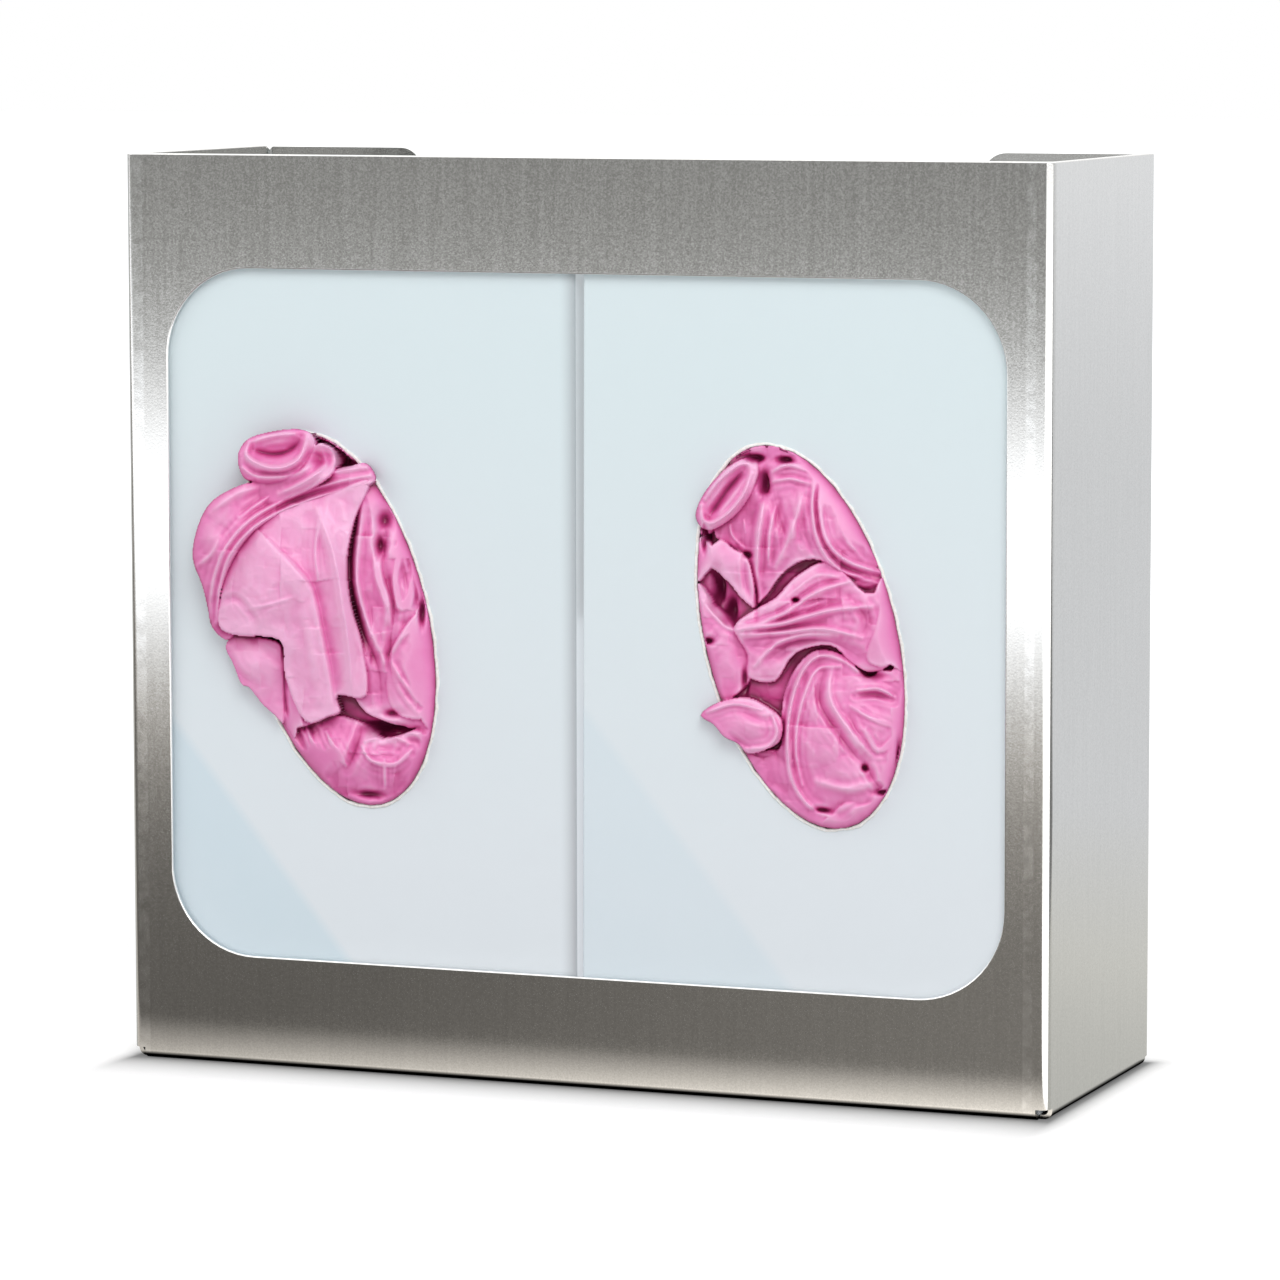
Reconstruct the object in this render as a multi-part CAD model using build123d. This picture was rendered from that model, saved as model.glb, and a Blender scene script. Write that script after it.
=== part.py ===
from build123d import *
import math
import os

os.makedirs("parts", exist_ok=True)

# Disposable glove dispenser: a folded stainless steel holder with two cartons of gloves.
# +X is to the right, +Y runs back from the front panel, +Z is up.
# Everything is laid out from the front panel's outer face and is moved to the object's middle at the end.

# Holder: one folded sheet
holder_width = 276.0
holder_height = 260.0
holder_depth = 95.6
sheet = 1.2
bend_inside = 1.3
window_side = 13.0
window_head = 32.2
window_sill = 31.6
window_corner = 25.4
back_flange = 51.0
back_flange_corner = 7.0
back_flange_drop = 0.5
back_notch_depth = 0.9
bottom_flange = 14.0
bottom_relief = 1.2
bottom_joint = 1.0
floor_back_gap = 3.2
edge_round = 0.45

# Keyholes for hanging the holder on a wall
keyhole_head_radius = 4.75
keyhole_slot_width = 5.0
keyhole_rise = 9.0
keyhole_inset = 24.0
keyhole_low = 45.0
keyhole_spacing = 165.0

# Cartons, which fill the holder but for these clearances
card = 0.6
carton_edge_round = 0.8
carton_gap_front = 1.0
carton_gap_back = 4.2
carton_gap_side = 1.5
carton_headroom = 13.6
left_carton_from_middle = 0.9
right_carton_from_middle = 0.6
right_carton_lean = 0.22
end_flap_short = 19.0
glue_flap = 14.0

# Torn oval opening in each carton's front, and the half height that the gloves' outlines are drawn for
opening_half_width = 28.3
opening_half_height = 54.1
outline_half_height = 54.1
opening_tilt = 14.6
opening_aside = {"left": -5.5, "right": -2.8}
opening_rise = 127.9

# Gloves
stack_clearance = 1.2
stack_corner = 9.0
stack_set_back = 11.0
film_clearance = 0.3
glove_corner = 2.2
glove_reach = 12.4
relief_step = 2.4
relief_tolerance = 0.5

# Sizes that follow
bend_outside = bend_inside + sheet
floor_top = sheet
fold_line = bend_outside
corner_relief = bend_outside + bottom_relief
corner_rise = fold_line + bottom_relief / 2
window_width = holder_width - 2 * window_side
window_height = holder_height - window_sill - window_head
carton_front = sheet + carton_gap_front
carton_width = holder_width / 2 - sheet - carton_gap_side - left_carton_from_middle
carton_depth = holder_depth - carton_front - sheet - carton_gap_back
carton_height = holder_height - floor_top - carton_headroom
outline_scale = opening_half_height / outline_half_height
middle_depth = (holder_depth - glove_reach) / 2


def span_box(low, high):
    """A box between two opposite corners."""
    size = [high[i] - low[i] for i in range(3)]
    centre = [(high[i] + low[i]) / 2 for i in range(3)]
    return Pos(*centre) * Box(*size)


def strip_section(flat):
    """Section of a quarter bend that runs on into a flat strip, from the wall's line to the strip's free edge."""
    with BuildSketch() as section:
        Circle(bend_outside)
        Circle(bend_inside, mode=Mode.SUBTRACT)
        Rectangle(2 * bend_outside, 2 * bend_outside, align=(Align.MIN, Align.MIN), mode=Mode.INTERSECT)
    bend = Pos(bend_outside, bend_outside) * Rot(0, 0, 180) * section.sketch
    strip = Pos(bend_outside, 0) * Rectangle(flat - bend_outside, sheet, align=(Align.MIN, Align.MIN))
    return bend + strip


def keyhole():
    """Cutter for one keyhole through a back flange: a round head with a slot above it."""
    head = Circle(keyhole_head_radius)
    slot = Rectangle(keyhole_slot_width, keyhole_rise, align=(Align.CENTER, Align.MIN))
    top = Pos(0, keyhole_rise) * Circle(keyhole_slot_width / 2)
    return Rot(90, 0, 0) * extrude(head + slot + top, amount=2 * sheet, both=True)


def holder():
    """The folded sheet, built panel by panel around its bends."""
    ring = RectangleRounded(holder_width, holder_depth, bend_outside)
    ring -= RectangleRounded(holder_width - 2 * sheet, holder_depth - 2 * sheet, bend_inside)
    back_gap = holder_width - 2 * back_flange
    ring -= Pos(0, holder_depth / 2) * Rectangle(back_gap, 4 * sheet)
    shell = Pos(0, holder_depth / 2, fold_line) * extrude(ring, amount=holder_height - fold_line)

    # Window, with its edge rounded on both faces
    window_middle = window_sill + window_height / 2
    outline = RectangleRounded(window_width, window_height, window_corner)
    shell -= Pos(0, 0, window_middle) * Rot(90, 0, 0) * extrude(outline, amount=4 * sheet, both=True)
    window_edges = [
        edge
        for edge in shell.edges()
        if abs(edge.center().X) < window_width / 2 + 1
        and edge.center().Y < sheet + 0.1
        and window_sill - 1 < edge.center().Z < window_sill + window_height + 1
        and edge.bounding_box().size.Y < 0.1
    ]
    shell = fillet(window_edges, edge_round)
    rim_edges = [
        edge
        for edge in shell.edges()
        if edge.bounding_box().min.Z > holder_height - 0.01 and edge.center().Y < holder_depth - corner_relief
    ]
    shell = fillet(rim_edges, edge_round)

    # Back flanges: a little lower than the walls, nicked at the bends, with rounded free corners
    notch_side = back_notch_depth * math.sqrt(2)
    for side in (-1, 1):
        edge_x = side * (holder_width / 2 - back_flange)
        outer_x = side * (holder_width / 2 + 1)
        low_x, high_x = sorted((edge_x, outer_x))
        back_y = holder_depth - bend_outside
        flange_top = holder_height - back_flange_drop
        shell -= span_box((low_x - 1, back_y, flange_top), (high_x + 1, holder_depth + 1, holder_height + 1))
        notch = Rot(0, 0, 45 * side) * Rot(45, 0, 0) * Box(4 * bend_outside, notch_side, notch_side)
        shell -= Pos(side * (holder_width / 2 - bend_outside), back_y, flange_top) * notch
        for level in (keyhole_low, keyhole_low + keyhole_spacing):
            shell -= Pos(side * (holder_width / 2 - keyhole_inset), holder_depth - sheet / 2, level) * keyhole()
    corner_edges = [
        edge
        for edge in shell.edges().filter_by(Axis.Y)
        if abs(abs(edge.center().X) - (holder_width / 2 - back_flange)) < 0.01
        and edge.center().Y > holder_depth - 2 * sheet
    ]
    shell = fillet(corner_edges, back_flange_corner)

    # The front corners are relieved where three bends meet
    for side in (-1, 1):
        low_x, high_x = sorted((side * (holder_width / 2 - corner_relief), side * (holder_width / 2 + 1)))
        shell -= span_box((low_x, -1, 0), (high_x, corner_relief, corner_rise))

    # Floor, folded back from the front panel and narrowed behind its bend to lie between the bottom flanges
    fold_width = holder_width - 2 * corner_relief
    floor_width = holder_width - 2 * bottom_flange - 2 * bottom_joint
    floor_end = holder_depth - sheet - floor_back_gap
    fold_section = Plane.YZ * strip_section(bend_outside + edge_round)
    floor = Pos(-fold_width / 2, 0, 0) * extrude(fold_section, amount=fold_width)
    floor += span_box((-floor_width / 2, bend_outside, 0), (floor_width / 2, floor_end, sheet))

    # Side walls down to the ground and their bottom flanges, level with the floor
    flange_length = holder_depth - 2 * corner_relief
    flange_section = Plane.XZ * strip_section(bottom_flange)
    flange = Pos(-holder_width / 2, corner_relief, 0) * extrude(flange_section, amount=-flange_length)
    return shell + floor + flange + mirror(flange, about=Plane.YZ)


def opening_outline(side, clearance):
    """The tilted oval of a carton's opening, in the carton's own XZ frame, drawn in by a clearance."""
    oval = Ellipse(opening_half_width - clearance, opening_half_height - clearance)
    return Pos(opening_aside[side], opening_rise) * Rot(0, 0, opening_tilt) * oval


def stand_up(flat, front, back):
    """A solid whose XZ section is a flat shape, from one depth to another behind the carton's front."""
    return Pos(0, back, 0) * Rot(90, 0, 0) * extrude(flat, amount=back - front)


def carton(side):
    """The card box of one side in its own frame: its front at y = 0, its base at z = 0, its middle at x = 0."""
    box = Pos(0, carton_depth / 2, carton_height / 2) * Box(carton_width, carton_depth, carton_height)
    box = fillet(box.edges(), carton_edge_round)
    # Three layers of card close each end: two dust flaps, then the two glued end flaps
    end_thickness = 3 * card
    box -= span_box(
        (-carton_width / 2 + card, card, end_thickness),
        (carton_width / 2 - card, carton_depth - card, carton_height - end_thickness),
    )
    # The outer end flap stops short of the back edge
    flap_edge = carton_depth - end_flap_short
    for level in (-card, carton_height - card):
        cut_end = (carton_width / 2 + 1, carton_depth - card, level + 2 * card)
        box -= span_box((-carton_width / 2 - 1, flap_edge, level), cut_end)
    # The glue flap lies inside the back wall, at the side seam
    seam_x = carton_width / 2 - card
    box += span_box(
        (seam_x - glue_flap, carton_depth - 2 * card, end_thickness),
        (seam_x, carton_depth - card, carton_height - end_thickness),
    )
    return box - stand_up(opening_outline(side, 0), -card, 3 * card)


def glove_stack():
    """The gloves that are still packed in a carton, as one soft block behind the opening."""
    end_thickness = 3 * card
    width = carton_width - 2 * card - 2 * stack_clearance
    depth = carton_depth - 2 * card - stack_set_back - stack_clearance
    height = carton_height - 2 * end_thickness - stack_clearance
    block = Box(width, depth, height)
    block = fillet(block.edges().filter_by(Axis.Z), stack_corner)
    return Pos(0, stack_set_back + depth / 2, end_thickness + height / 2) * block


def stroke_points(stroke):
    """Points along a smooth curve that passes through a start, a middle and an end."""
    (x0, z0), (x1, z1), (x2, z2) = stroke
    samples = 14
    points = []
    for i in range(samples + 1):
        t = i / samples
        start, middle, end = (1 - t) * (1 - 2 * t), 4 * t * (1 - t), t * (2 * t - 1)
        points.append((start * x0 + middle * x1 + end * x2, start * z0 + middle * z1 + end * z2))
    return points


def stroke_distance(x, z, points):
    """Distance from a point to a stroke, and how far along the stroke it lies."""
    best, best_t = 1e9, 0.0
    for i, (px, pz) in enumerate(points):
        t = i / (len(points) - 1)
        gap = math.hypot(x - px, z - pz)
        if gap < best:
            best, best_t = gap, t
    return best, best_t


def relief_height(x, z, dome, folds):
    """How far a glove stands in front of the card: a dome with folds laid over it."""
    centre, radii, base, rise = dome
    u = (x - centre[0]) / radii[0]
    v = (z - centre[1]) / radii[1]
    height = base + rise / (1 + (u * u + v * v) ** 2)
    for stroke, fold_height, fold_width in folds:
        gap, t = stroke_distance(x, z, stroke)
        fade = 0.35 + 0.65 * math.sin(math.pi * t)
        height += fold_height * fade * math.exp(-((gap / fold_width) ** 2))
    return height


def glove(side, outline, dome, folds):
    """A crumpled glove in a carton's frame: its outline, its relief in front and a plug through the opening."""
    with BuildSketch() as shape:
        with BuildLine():
            Polyline(*outline, close=True)
        make_face()
        offset(amount=-film_clearance / 2, kind=Kind.INTERSECTION)
        fillet(shape.vertices(), glove_corner)
    xs = [point[0] for point in outline]
    zs = [point[1] for point in outline]
    margin = 2 * relief_step
    columns = math.ceil((max(xs) - min(xs) + 2 * margin) / relief_step)
    rows = math.ceil((max(zs) - min(zs) + 2 * margin) / relief_step)
    grid = []
    for i in range(columns + 1):
        x = min(xs) - margin + i * relief_step
        column = []
        for j in range(rows + 1):
            z = min(zs) - margin + j * relief_step
            column.append(Vector(x, -relief_height(x, z, dome, folds), z))
        grid.append(column)
    front = Face.make_surface_from_array_of_points(grid, tol=relief_tolerance, min_deg=3)
    body = extrude(front, amount=4 * stack_set_back, dir=(0, 1, 0))
    back = stack_set_back - film_clearance
    prism = stand_up(shape.sketch, -3 * glove_reach, back)
    # Behind the card the glove keeps inside the opening
    wall = stand_up(Pos(0, opening_rise) * Rectangle(2 * carton_width, carton_height), -film_clearance, 3 * back)
    wall -= stand_up(opening_outline(side, film_clearance), -card, 4 * back)
    return (prism & body) - wall


def from_opening(side, points):
    """Moves an outline or a stroke from the middle of the opening to the carton's frame, at the opening's scale."""
    return [(opening_aside[side] + outline_scale * x, opening_rise + outline_scale * z) for x, z in points]


# Borders that neighbouring gloves share, measured from the middle of the opening
left_band_edge = [(14.5, 40), (-4, 33.5), (-14, 29.5), (-23, 24), (-30, 15), (-33, 5), (-32, -4.5)]
left_finger_edge = [(14.5, 40), (8.5, 29), (6, 17.5), (7, 5.5), (10.5, -6.5), (11.5, -20.5)]
left_hem_edge = [(3, -21), (3.5, -26.5), (-7.5, -28.5), (-14.5, -31)]
right_fold_edge = [(-23, 26.5), (-14.5, 21.5), (-12.5, 8.5), (-5, 17.5), (2, 21.5), (8, 21), (15, 13.5), (25, 12.5)]
right_arc_edge = [(-14.5, -32.5), (-5.5, -29), (-5, -19), (-2.5, -11.5), (2, -5.5), (7, -2.5), (13.5, -4)]
right_arc_edge += [(20, -9.5), (28.5, -8.5)]

left_cuff_outline = left_band_edge + [(-37.5, -3), (-39, 8.5), (-42, 15.5), (-41, 23), (-38.5, 29.5)]
left_cuff_outline += [(-33.5, 34.5), (-27.5, 38), (-28, 46), (-24.5, 51), (-18, 53), (-10, 54), (-1, 50), (5, 44.5)]
left_palm_outline = left_finger_edge + left_hem_edge + [(-21, -25), (-27.5, -19), (-32, -10)]
left_palm_outline += list(reversed(left_band_edge))[:-1]
left_inner_outline = left_finger_edge + left_hem_edge + [(-12, -38), (-6, -44), (2, -48.5), (12, -49.5)]
left_inner_outline += [(21, -47.5), (27.5, -43), (30, -36), (30.5, -15), (27.5, 6), (23.5, 20), (19, 31)]
right_cuff_outline = right_fold_edge + [(23.5, 21), (19, 29.5), (11, 42), (0, 50), (-7, 51.5), (-15, 49.5)]
right_cuff_outline += [(-24, 44), (-30, 34.5), (-28.5, 30)]
right_middle_outline = right_arc_edge + [(27, 4)] + list(reversed(right_fold_edge)) + [(-29.5, 19.5)]
right_middle_outline += [(-28.5, 10.5), (-27, 0), (-22.5, -17), (-28.5, -22.5)]
right_lower_outline = right_arc_edge + [(30, -17), (30.3, -26), (29.3, -36), (26.3, -43.5), (21.7, -48), (15, -50)]
right_lower_outline += [(5, -50.5), (-3, -48), (-9.7, -41.5), (-13.5, -36.5)]

# Each glove: its outline, its dome (middle, half sizes, base, rise) and its folds (stroke, height, width)
gloves = {
    "left_cuff_glove": (
        left_cuff_outline,
        ((-20, 25), (26, 28), 3.0, 9.1),
        [
            ([(14.5, 41), (-18, 29.5), (-34, -1)], 3.0, 3.6),
            ([(13.5, 44.5), (-5.5, 40), (-25.5, 29)], 2.0, 2.9),
            ([(-4.5, 38.5), (-17.5, 34), (-31, 22)], -1.6, 2.9),
            ([(-22, 50.5), (-14, 43.5), (-4.5, 52)], 2.4, 2.6),
            ([(-21.5, 48.5), (-14.5, 47.5), (-6.5, 52.5)], -3.8, 2.6),
            ([(-21, 51), (-14.5, 52.5), (-8.5, 53)], 1.8, 2.3),
            ([(-24.5, 43), (-19.5, 40.5), (-11.5, 41)], 1.6, 2.6),
            ([(-39, 15), (-34.5, 18), (-31.5, 23)], 1.2, 2.6),
            ([(-34.5, 30), (-26.5, 35), (-18.5, 37.5)], 1.2, 2.9),
        ],
    ),
    "left_palm_glove": (
        left_palm_outline,
        ((-16, 5), (26, 36), 0.5, 9.5),
        [
            ([(-1.5, 32), (5.5, 12), (8.5, -22)], 3.8, 4.2),
            ([(-3, 11), (0.5, -6), (3.5, -24)], -2.6, 3.1),
            ([(-18, 23), (-4, 3), (0, -25)], 1.6, 3.4),
            ([(-31, -4.5), (-21, -5), (-13, -7.5)], -1.6, 2.6),
            ([(-14, -13), (-13.5, -22), (-12, -30)], -2.2, 2.3),
            ([(-11.5, -10), (-10.5, -20), (-8.5, -29)], 1.6, 2.3),
            ([(-1.5, 29), (-2.5, 20), (-1.5, 12)], 1.2, 2.3),
        ],
    ),
    "left_inner_glove": (
        left_inner_outline,
        ((16, -14), (26, 44), -3.0, 6.5),
        [
            ([(11, 37.5), (8.5, 11.5), (16.5, -10.5)], 2.4, 2.9),
            ([(13.5, 37.5), (15.5, 13.5), (19, -6.5)], 2.8, 2.9),
            ([(17.5, 25.5), (19, 4), (18, -16.5)], -2.4, 2.6),
            ([(21, 32.5), (25, 19.5), (28, 7.5)], 2.0, 2.3),
            ([(22.5, 24.5), (21, 6), (25, 16)], 1.8, 2.3),
            ([(18.5, -8.5), (23.5, -1.5), (28.5, 2.5)], 1.6, 2.6),
            ([(18.5, -10.5), (22.5, -16.5), (27.5, -22.5)], 1.6, 2.6),
            ([(8.5, -28.5), (17, -30), (28, -28)], -3.0, 2.6),
            ([(-9, -30), (-7, -34), (-5, -38)], 1.6, 2.3),
            ([(-2, -32), (1, -37), (4, -41)], 2.2, 2.6),
            ([(4.5, -42), (7, -36), (9, -30)], -2.2, 2.3),
            ([(9, -35.5), (15.5, -40), (24, -36)], 2.2, 2.3),
            ([(21, -31), (26.5, -31.5), (30, -36)], 2.0, 2.6),
            ([(16, -40), (16, -43.5), (16, -47)], 1.2, 2.3),
        ],
    ),
    "right_cuff_glove": (
        right_cuff_outline,
        ((2, 31), (26, 26), -1.0, 5.0),
        [
            ([(-27.5, 36), (-22, 32.5), (-13, 45)], 2.2, 2.3),
            ([(-26.5, 38), (-20, 45), (-13.5, 48)], 1.8, 2.3),
            ([(-25.5, 33.5), (-20, 40), (-15, 46.5)], -2.6, 2.3),
            ([(-9, 39.5), (-11, 23.5), (-10.5, 10.5)], 2.8, 2.6),
            ([(8, 46.5), (8, 28.5), (25, 19.5)], 2.2, 2.6),
            ([(2, 40.5), (-1.5, 29.5), (-6, 20)], 2.0, 3.1),
            ([(-7, 42.5), (-4, 32), (-5.5, 23.5)], -1.6, 2.3),
            ([(-7, 46), (-2, 48), (5, 46.5)], 1.8, 2.3),
            ([(16, 37.5), (14, 29.5), (20, 22.5)], 0.9, 2.3),
        ],
    ),
    "right_middle_glove": (
        right_middle_outline,
        ((1, 3), (34, 24), -2.0, 5.5),
        [
            ([(-26, 20), (-20, 22), (-15, 18)], 2.2, 3.6),
            ([(-26, 16), (-23.5, 10), (-18.5, 4)], -2.8, 3.4),
            ([(-26.5, 9.5), (-18, 2), (-12, -7.5)], 1.8, 2.3),
            ([(-17, 2.5), (0.5, 9.5), (18.5, 17.5)], 2.4, 2.5),
            ([(-17, 1.5), (3.5, 5.5), (22.5, 9)], 2.2, 2.3),
            ([(-15.5, 0), (2.5, 1), (19.5, 0)], 2.0, 2.3),
            ([(-7.5, -5.5), (4.5, 0), (18.5, -4)], -2.0, 2.3),
            ([(16.5, 12), (20.5, 6.5), (19.5, 2)], -1.8, 2.3),
            ([(25.5, 10.5), (23.5, 1.5), (24.5, -4.5)], 1.8, 2.6),
            ([(-22, -24), (-15, -23), (-8, -24)], 2.6, 5.2),
            ([(-26, -21), (-18, -18.5), (-9.5, -19.5)], 1.6, 2.3),
            ([(-21, -15.5), (-11.5, -14.5), (-4, -19)], -1.8, 2.3),
        ],
    ),
    "right_lower_glove": (
        right_lower_outline,
        ((13, -27), (26, 28), -1.0, 6.5),
        [
            ([(19, -7.5), (7, -4), (0, -17.5)], 2.6, 2.6),
            ([(0, -17.5), (-1.5, -30.5), (9, -47)], 2.6, 2.6),
            ([(14, -9.5), (5, -12.5), (3.5, -36.5)], -1.4, 2.3),
            ([(11.5, -7.5), (12, -18.5), (22, -30.5)], 1.8, 2.6),
            ([(9, -8.5), (11, -21.5), (21, -34)], -2.0, 2.3),
            ([(19, -13), (25, -12.5), (29.5, -14.5)], 1.6, 2.3),
            ([(21, -23.5), (25, -29), (30, -25)], 1.8, 2.3),
            ([(21, -31.5), (23.5, -37), (27, -40.5)], -1.8, 2.3),
            ([(12, -47.5), (19, -44), (26, -43)], 2.0, 2.6),
        ],
    ),
}

# Where each carton and all that is in it stands
left_place = Pos(-left_carton_from_middle - carton_width / 2, carton_front, floor_top)
right_corner = Pos(right_carton_from_middle + carton_width, carton_front, floor_top) * Rot(0, right_carton_lean, 0)
right_place = right_corner * Pos(-carton_width / 2, 0, 0)
places = {"left": left_place, "right": right_place}

nodes = {"holder": holder()}
for side, place in places.items():
    nodes[f"{side}_carton"] = place * carton(side)
    nodes[f"{side}_glove_stack"] = place * glove_stack()
for name, (outline, dome, folds) in gloves.items():
    side = name.split("_")[0]
    centre, radii, base, rise = dome
    placed_dome = (from_opening(side, [centre])[0], [outline_scale * r for r in radii], base, rise)
    placed_folds = []
    for stroke, height, width in folds:
        placed_folds.append((stroke_points(from_opening(side, stroke)), height, outline_scale * width))
    nodes[name] = places[side] * glove(side, from_opening(side, outline), placed_dome, placed_folds)

for name, solid in nodes.items():
    export_step(Pos(0, -middle_depth, 0) * solid, f"parts/{name}.step")
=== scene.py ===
import bpy
import bmesh
import math
import numpy as np
from mathutils import Matrix, Vector


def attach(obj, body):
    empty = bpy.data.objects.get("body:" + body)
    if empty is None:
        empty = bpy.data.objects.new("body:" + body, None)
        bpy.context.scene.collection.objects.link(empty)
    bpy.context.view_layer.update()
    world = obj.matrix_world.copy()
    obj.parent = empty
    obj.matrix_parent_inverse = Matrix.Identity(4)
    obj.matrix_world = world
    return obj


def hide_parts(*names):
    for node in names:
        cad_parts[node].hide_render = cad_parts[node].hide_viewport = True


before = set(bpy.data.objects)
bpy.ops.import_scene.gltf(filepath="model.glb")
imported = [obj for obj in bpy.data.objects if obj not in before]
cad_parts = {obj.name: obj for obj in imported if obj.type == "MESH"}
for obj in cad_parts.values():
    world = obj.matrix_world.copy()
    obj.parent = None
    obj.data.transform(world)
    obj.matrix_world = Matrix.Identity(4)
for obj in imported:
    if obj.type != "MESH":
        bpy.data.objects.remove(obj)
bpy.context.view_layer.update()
print("frame loaded")

# Everything is in metres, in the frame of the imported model; glove and card settings are in millimetres
mm = 0.001


# Camera: where the photographer stood, fitted to the holder's edges
cameraView = {
    "place": (0.6112, -1.5460, 0.3053),
    "yaw": 21.483,
    "pitch": 6.290,
    "roll": -0.0815,
    "lens": 165.47,
    "sensor": 36.0,
    "clip": (0.05, 60.0),
}

cameraData = bpy.data.cameras.new("studioCamera")
cameraData.lens = cameraView["lens"]
cameraData.sensor_width = cameraView["sensor"]
cameraData.clip_start, cameraData.clip_end = cameraView["clip"]
camera = bpy.data.objects.new("studioCamera", cameraData)
bpy.context.collection.objects.link(camera)
turn = Matrix.Rotation(math.radians(cameraView["yaw"]), 4, "Z")
turn = turn @ Matrix.Rotation(math.radians(90 - cameraView["pitch"]), 4, "X")
turn = turn @ Matrix.Rotation(math.radians(cameraView["roll"]), 4, "Z")
camera.matrix_world = Matrix.Translation(cameraView["place"]) @ turn
bpy.context.scene.camera = camera
bpy.context.scene.view_settings.view_transform = "Standard"
print("camera placed")


# Small helpers for materials: each value is a number, a colour or a socket
def newMaterial(name):
    material = bpy.data.materials.new(name)
    material.use_nodes = True
    tree = material.node_tree
    return material, tree, tree.nodes["Principled BSDF"]


def feed(tree, socket, value):
    if isinstance(value, bpy.types.NodeSocket):
        tree.links.new(value, socket)
    else:
        socket.default_value = value


def wire(tree, node, inputs):
    for key, value in inputs.items():
        feed(tree, node.inputs[key], value)


def addNode(tree, kind, inputs=None, **settings):
    node = tree.nodes.new(kind)
    for key, value in settings.items():
        setattr(node, key, value)
    wire(tree, node, inputs or {})
    return node


def math2(tree, operation, first, second=0.0):
    return addNode(tree, "ShaderNodeMath", {0: first, 1: second}, operation=operation).outputs[0]


def product(tree, first, *others):
    for value in others:
        first = math2(tree, "MULTIPLY", first, value)
    return first


def ramp(tree, factor, stops):
    # Colour ramp from (position, colour) stops
    node = addNode(tree, "ShaderNodeValToRGB", {"Fac": factor})
    elements = node.color_ramp.elements
    while len(elements) < len(stops):
        elements.new(0.5)
    for element, (position, colour) in zip(elements, stops):
        element.position = position
        element.color = (*colour, 1)
    return node.outputs["Color"]


def mapped(tree, value, fromRange=(0.0, 1.0), toRange=(0.0, 1.0)):
    node = addNode(tree, "ShaderNodeMapRange", {"Value": value})
    for key, limits in (("From", fromRange), ("To", toRange)):
        node.inputs[f"{key} Min"].default_value, node.inputs[f"{key} Max"].default_value = limits
    return node.outputs[0]


def blend(tree, share, first, second, **settings):
    node = addNode(tree, "ShaderNodeMix", {0: share}, data_type="RGBA", **settings)
    for key, value in (("A", first), ("B", second)):
        feed(tree, node.inputs[key], (*value, 1) if isinstance(value, tuple) else value)
    return node.outputs["Result"]


def speckle(tree, place, scale, detail=2.0):
    noise = addNode(tree, "ShaderNodeTexNoise", {"Vector": place, "Scale": scale, "Detail": detail})
    return noise.outputs["Fac"]


def objectPlace(tree):
    # Object coordinates, whole and as X, Y and Z
    place = addNode(tree, "ShaderNodeTexCoord").outputs["Object"]
    return place, addNode(tree, "ShaderNodeSeparateXYZ", {0: place}).outputs


def relief(tree, height, strength, distance):
    inputs = {"Height": height, "Strength": strength, "Distance": distance}
    return addNode(tree, "ShaderNodeBump", inputs).outputs[0]


def chooseByRay(tree, others, polished, seen):
    # One look for what polished metal mirrors, one for the camera, one for all other rays
    path = addNode(tree, "ShaderNodeLightPath")
    pick = others
    for ray, look in (("Is Glossy Ray", polished), ("Is Camera Ray", seen)):
        pick = addNode(tree, "ShaderNodeMixShader", {0: path.outputs[ray], 1: pick, 2: look}).outputs[0]
    return pick


# Studio: white floor and surroundings, two softboxes
studio = {
    "floorHalf": 12.0,
    "floorColour": (0.8, 0.8, 0.8),
    "floorRoughness": 0.9,
    "footprint": (-0.138, 0.138, -0.0416, 0.054),
    "nearGlow": 0.45,
    "farGlow": 1.0,
    "glowReach": (0.45, 1.2),
    "contactShadowDark": 0.74,
    "contactShadowFront": 0.017,
    "contactShadowSide": 0.004,
    "coveredReach": 0.004,
    "frontDistances": (0.0, 0.02, 0.05, 0.30, 0.56, 0.80, 1.05, 1.30, 1.90, 2.45, 3.30, 5.00, 8.0),
    "frontBrightness": (1.1, 0.9, 0.20, 0.23, 0.40, 0.82, 1.60, 3.20, 3.20, 1.60, 0.56, 0.44, 0.40),
    "behindDistances": (0.0, 0.12, 0.26, 0.60, 2.0, 4.0, 8.0),
    "behindBrightness": (0.66, 0.70, 0.80, 0.87, 0.87, 0.95, 1.05),
    "nearTint": (1.06, 1.0, 0.92),
    "stripTint": (0.98, 1.0, 1.03),
    "farTint": (1.0, 1.0, 0.95),
    "sideShares": (0.75, 1.3),
    "rightOpen": 0.155,
    "rightBrightness": 2.2,
    "darkCorner": (0.45, 0.5, 0.28),
    "ambient": 0.56,
    "skyLow": 0.36,
    "skyBehind": 1.0,
    "skyHigh": 2.00,
    "skyStops": (0.0, 0.12, 0.6),
    "skyRise": 1.2,
    "skyTurn": (0.0, 0.1),
    "softboxAim": (0, 0, 0.13),
    "key": {"place": (1.3, -1.9, 2.1), "size": 1.6, "power": 39.0},
    "fill": {"place": (-2.2, -1.6, 1.5), "size": 1.8, "power": 17.0},
}


def strip(tree, distance, distances, values, tints):
    # Brightness along the floor, as shares of the brightest place in front
    brightest = max(studio["frontBrightness"])
    stops = []
    for d, value, tint in zip(distances, values, tints):
        stops.append((d / distances[-1], tuple(value * t / brightest for t in tint)))
    return ramp(tree, math2(tree, "DIVIDE", distance, distances[-1]), stops)


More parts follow.
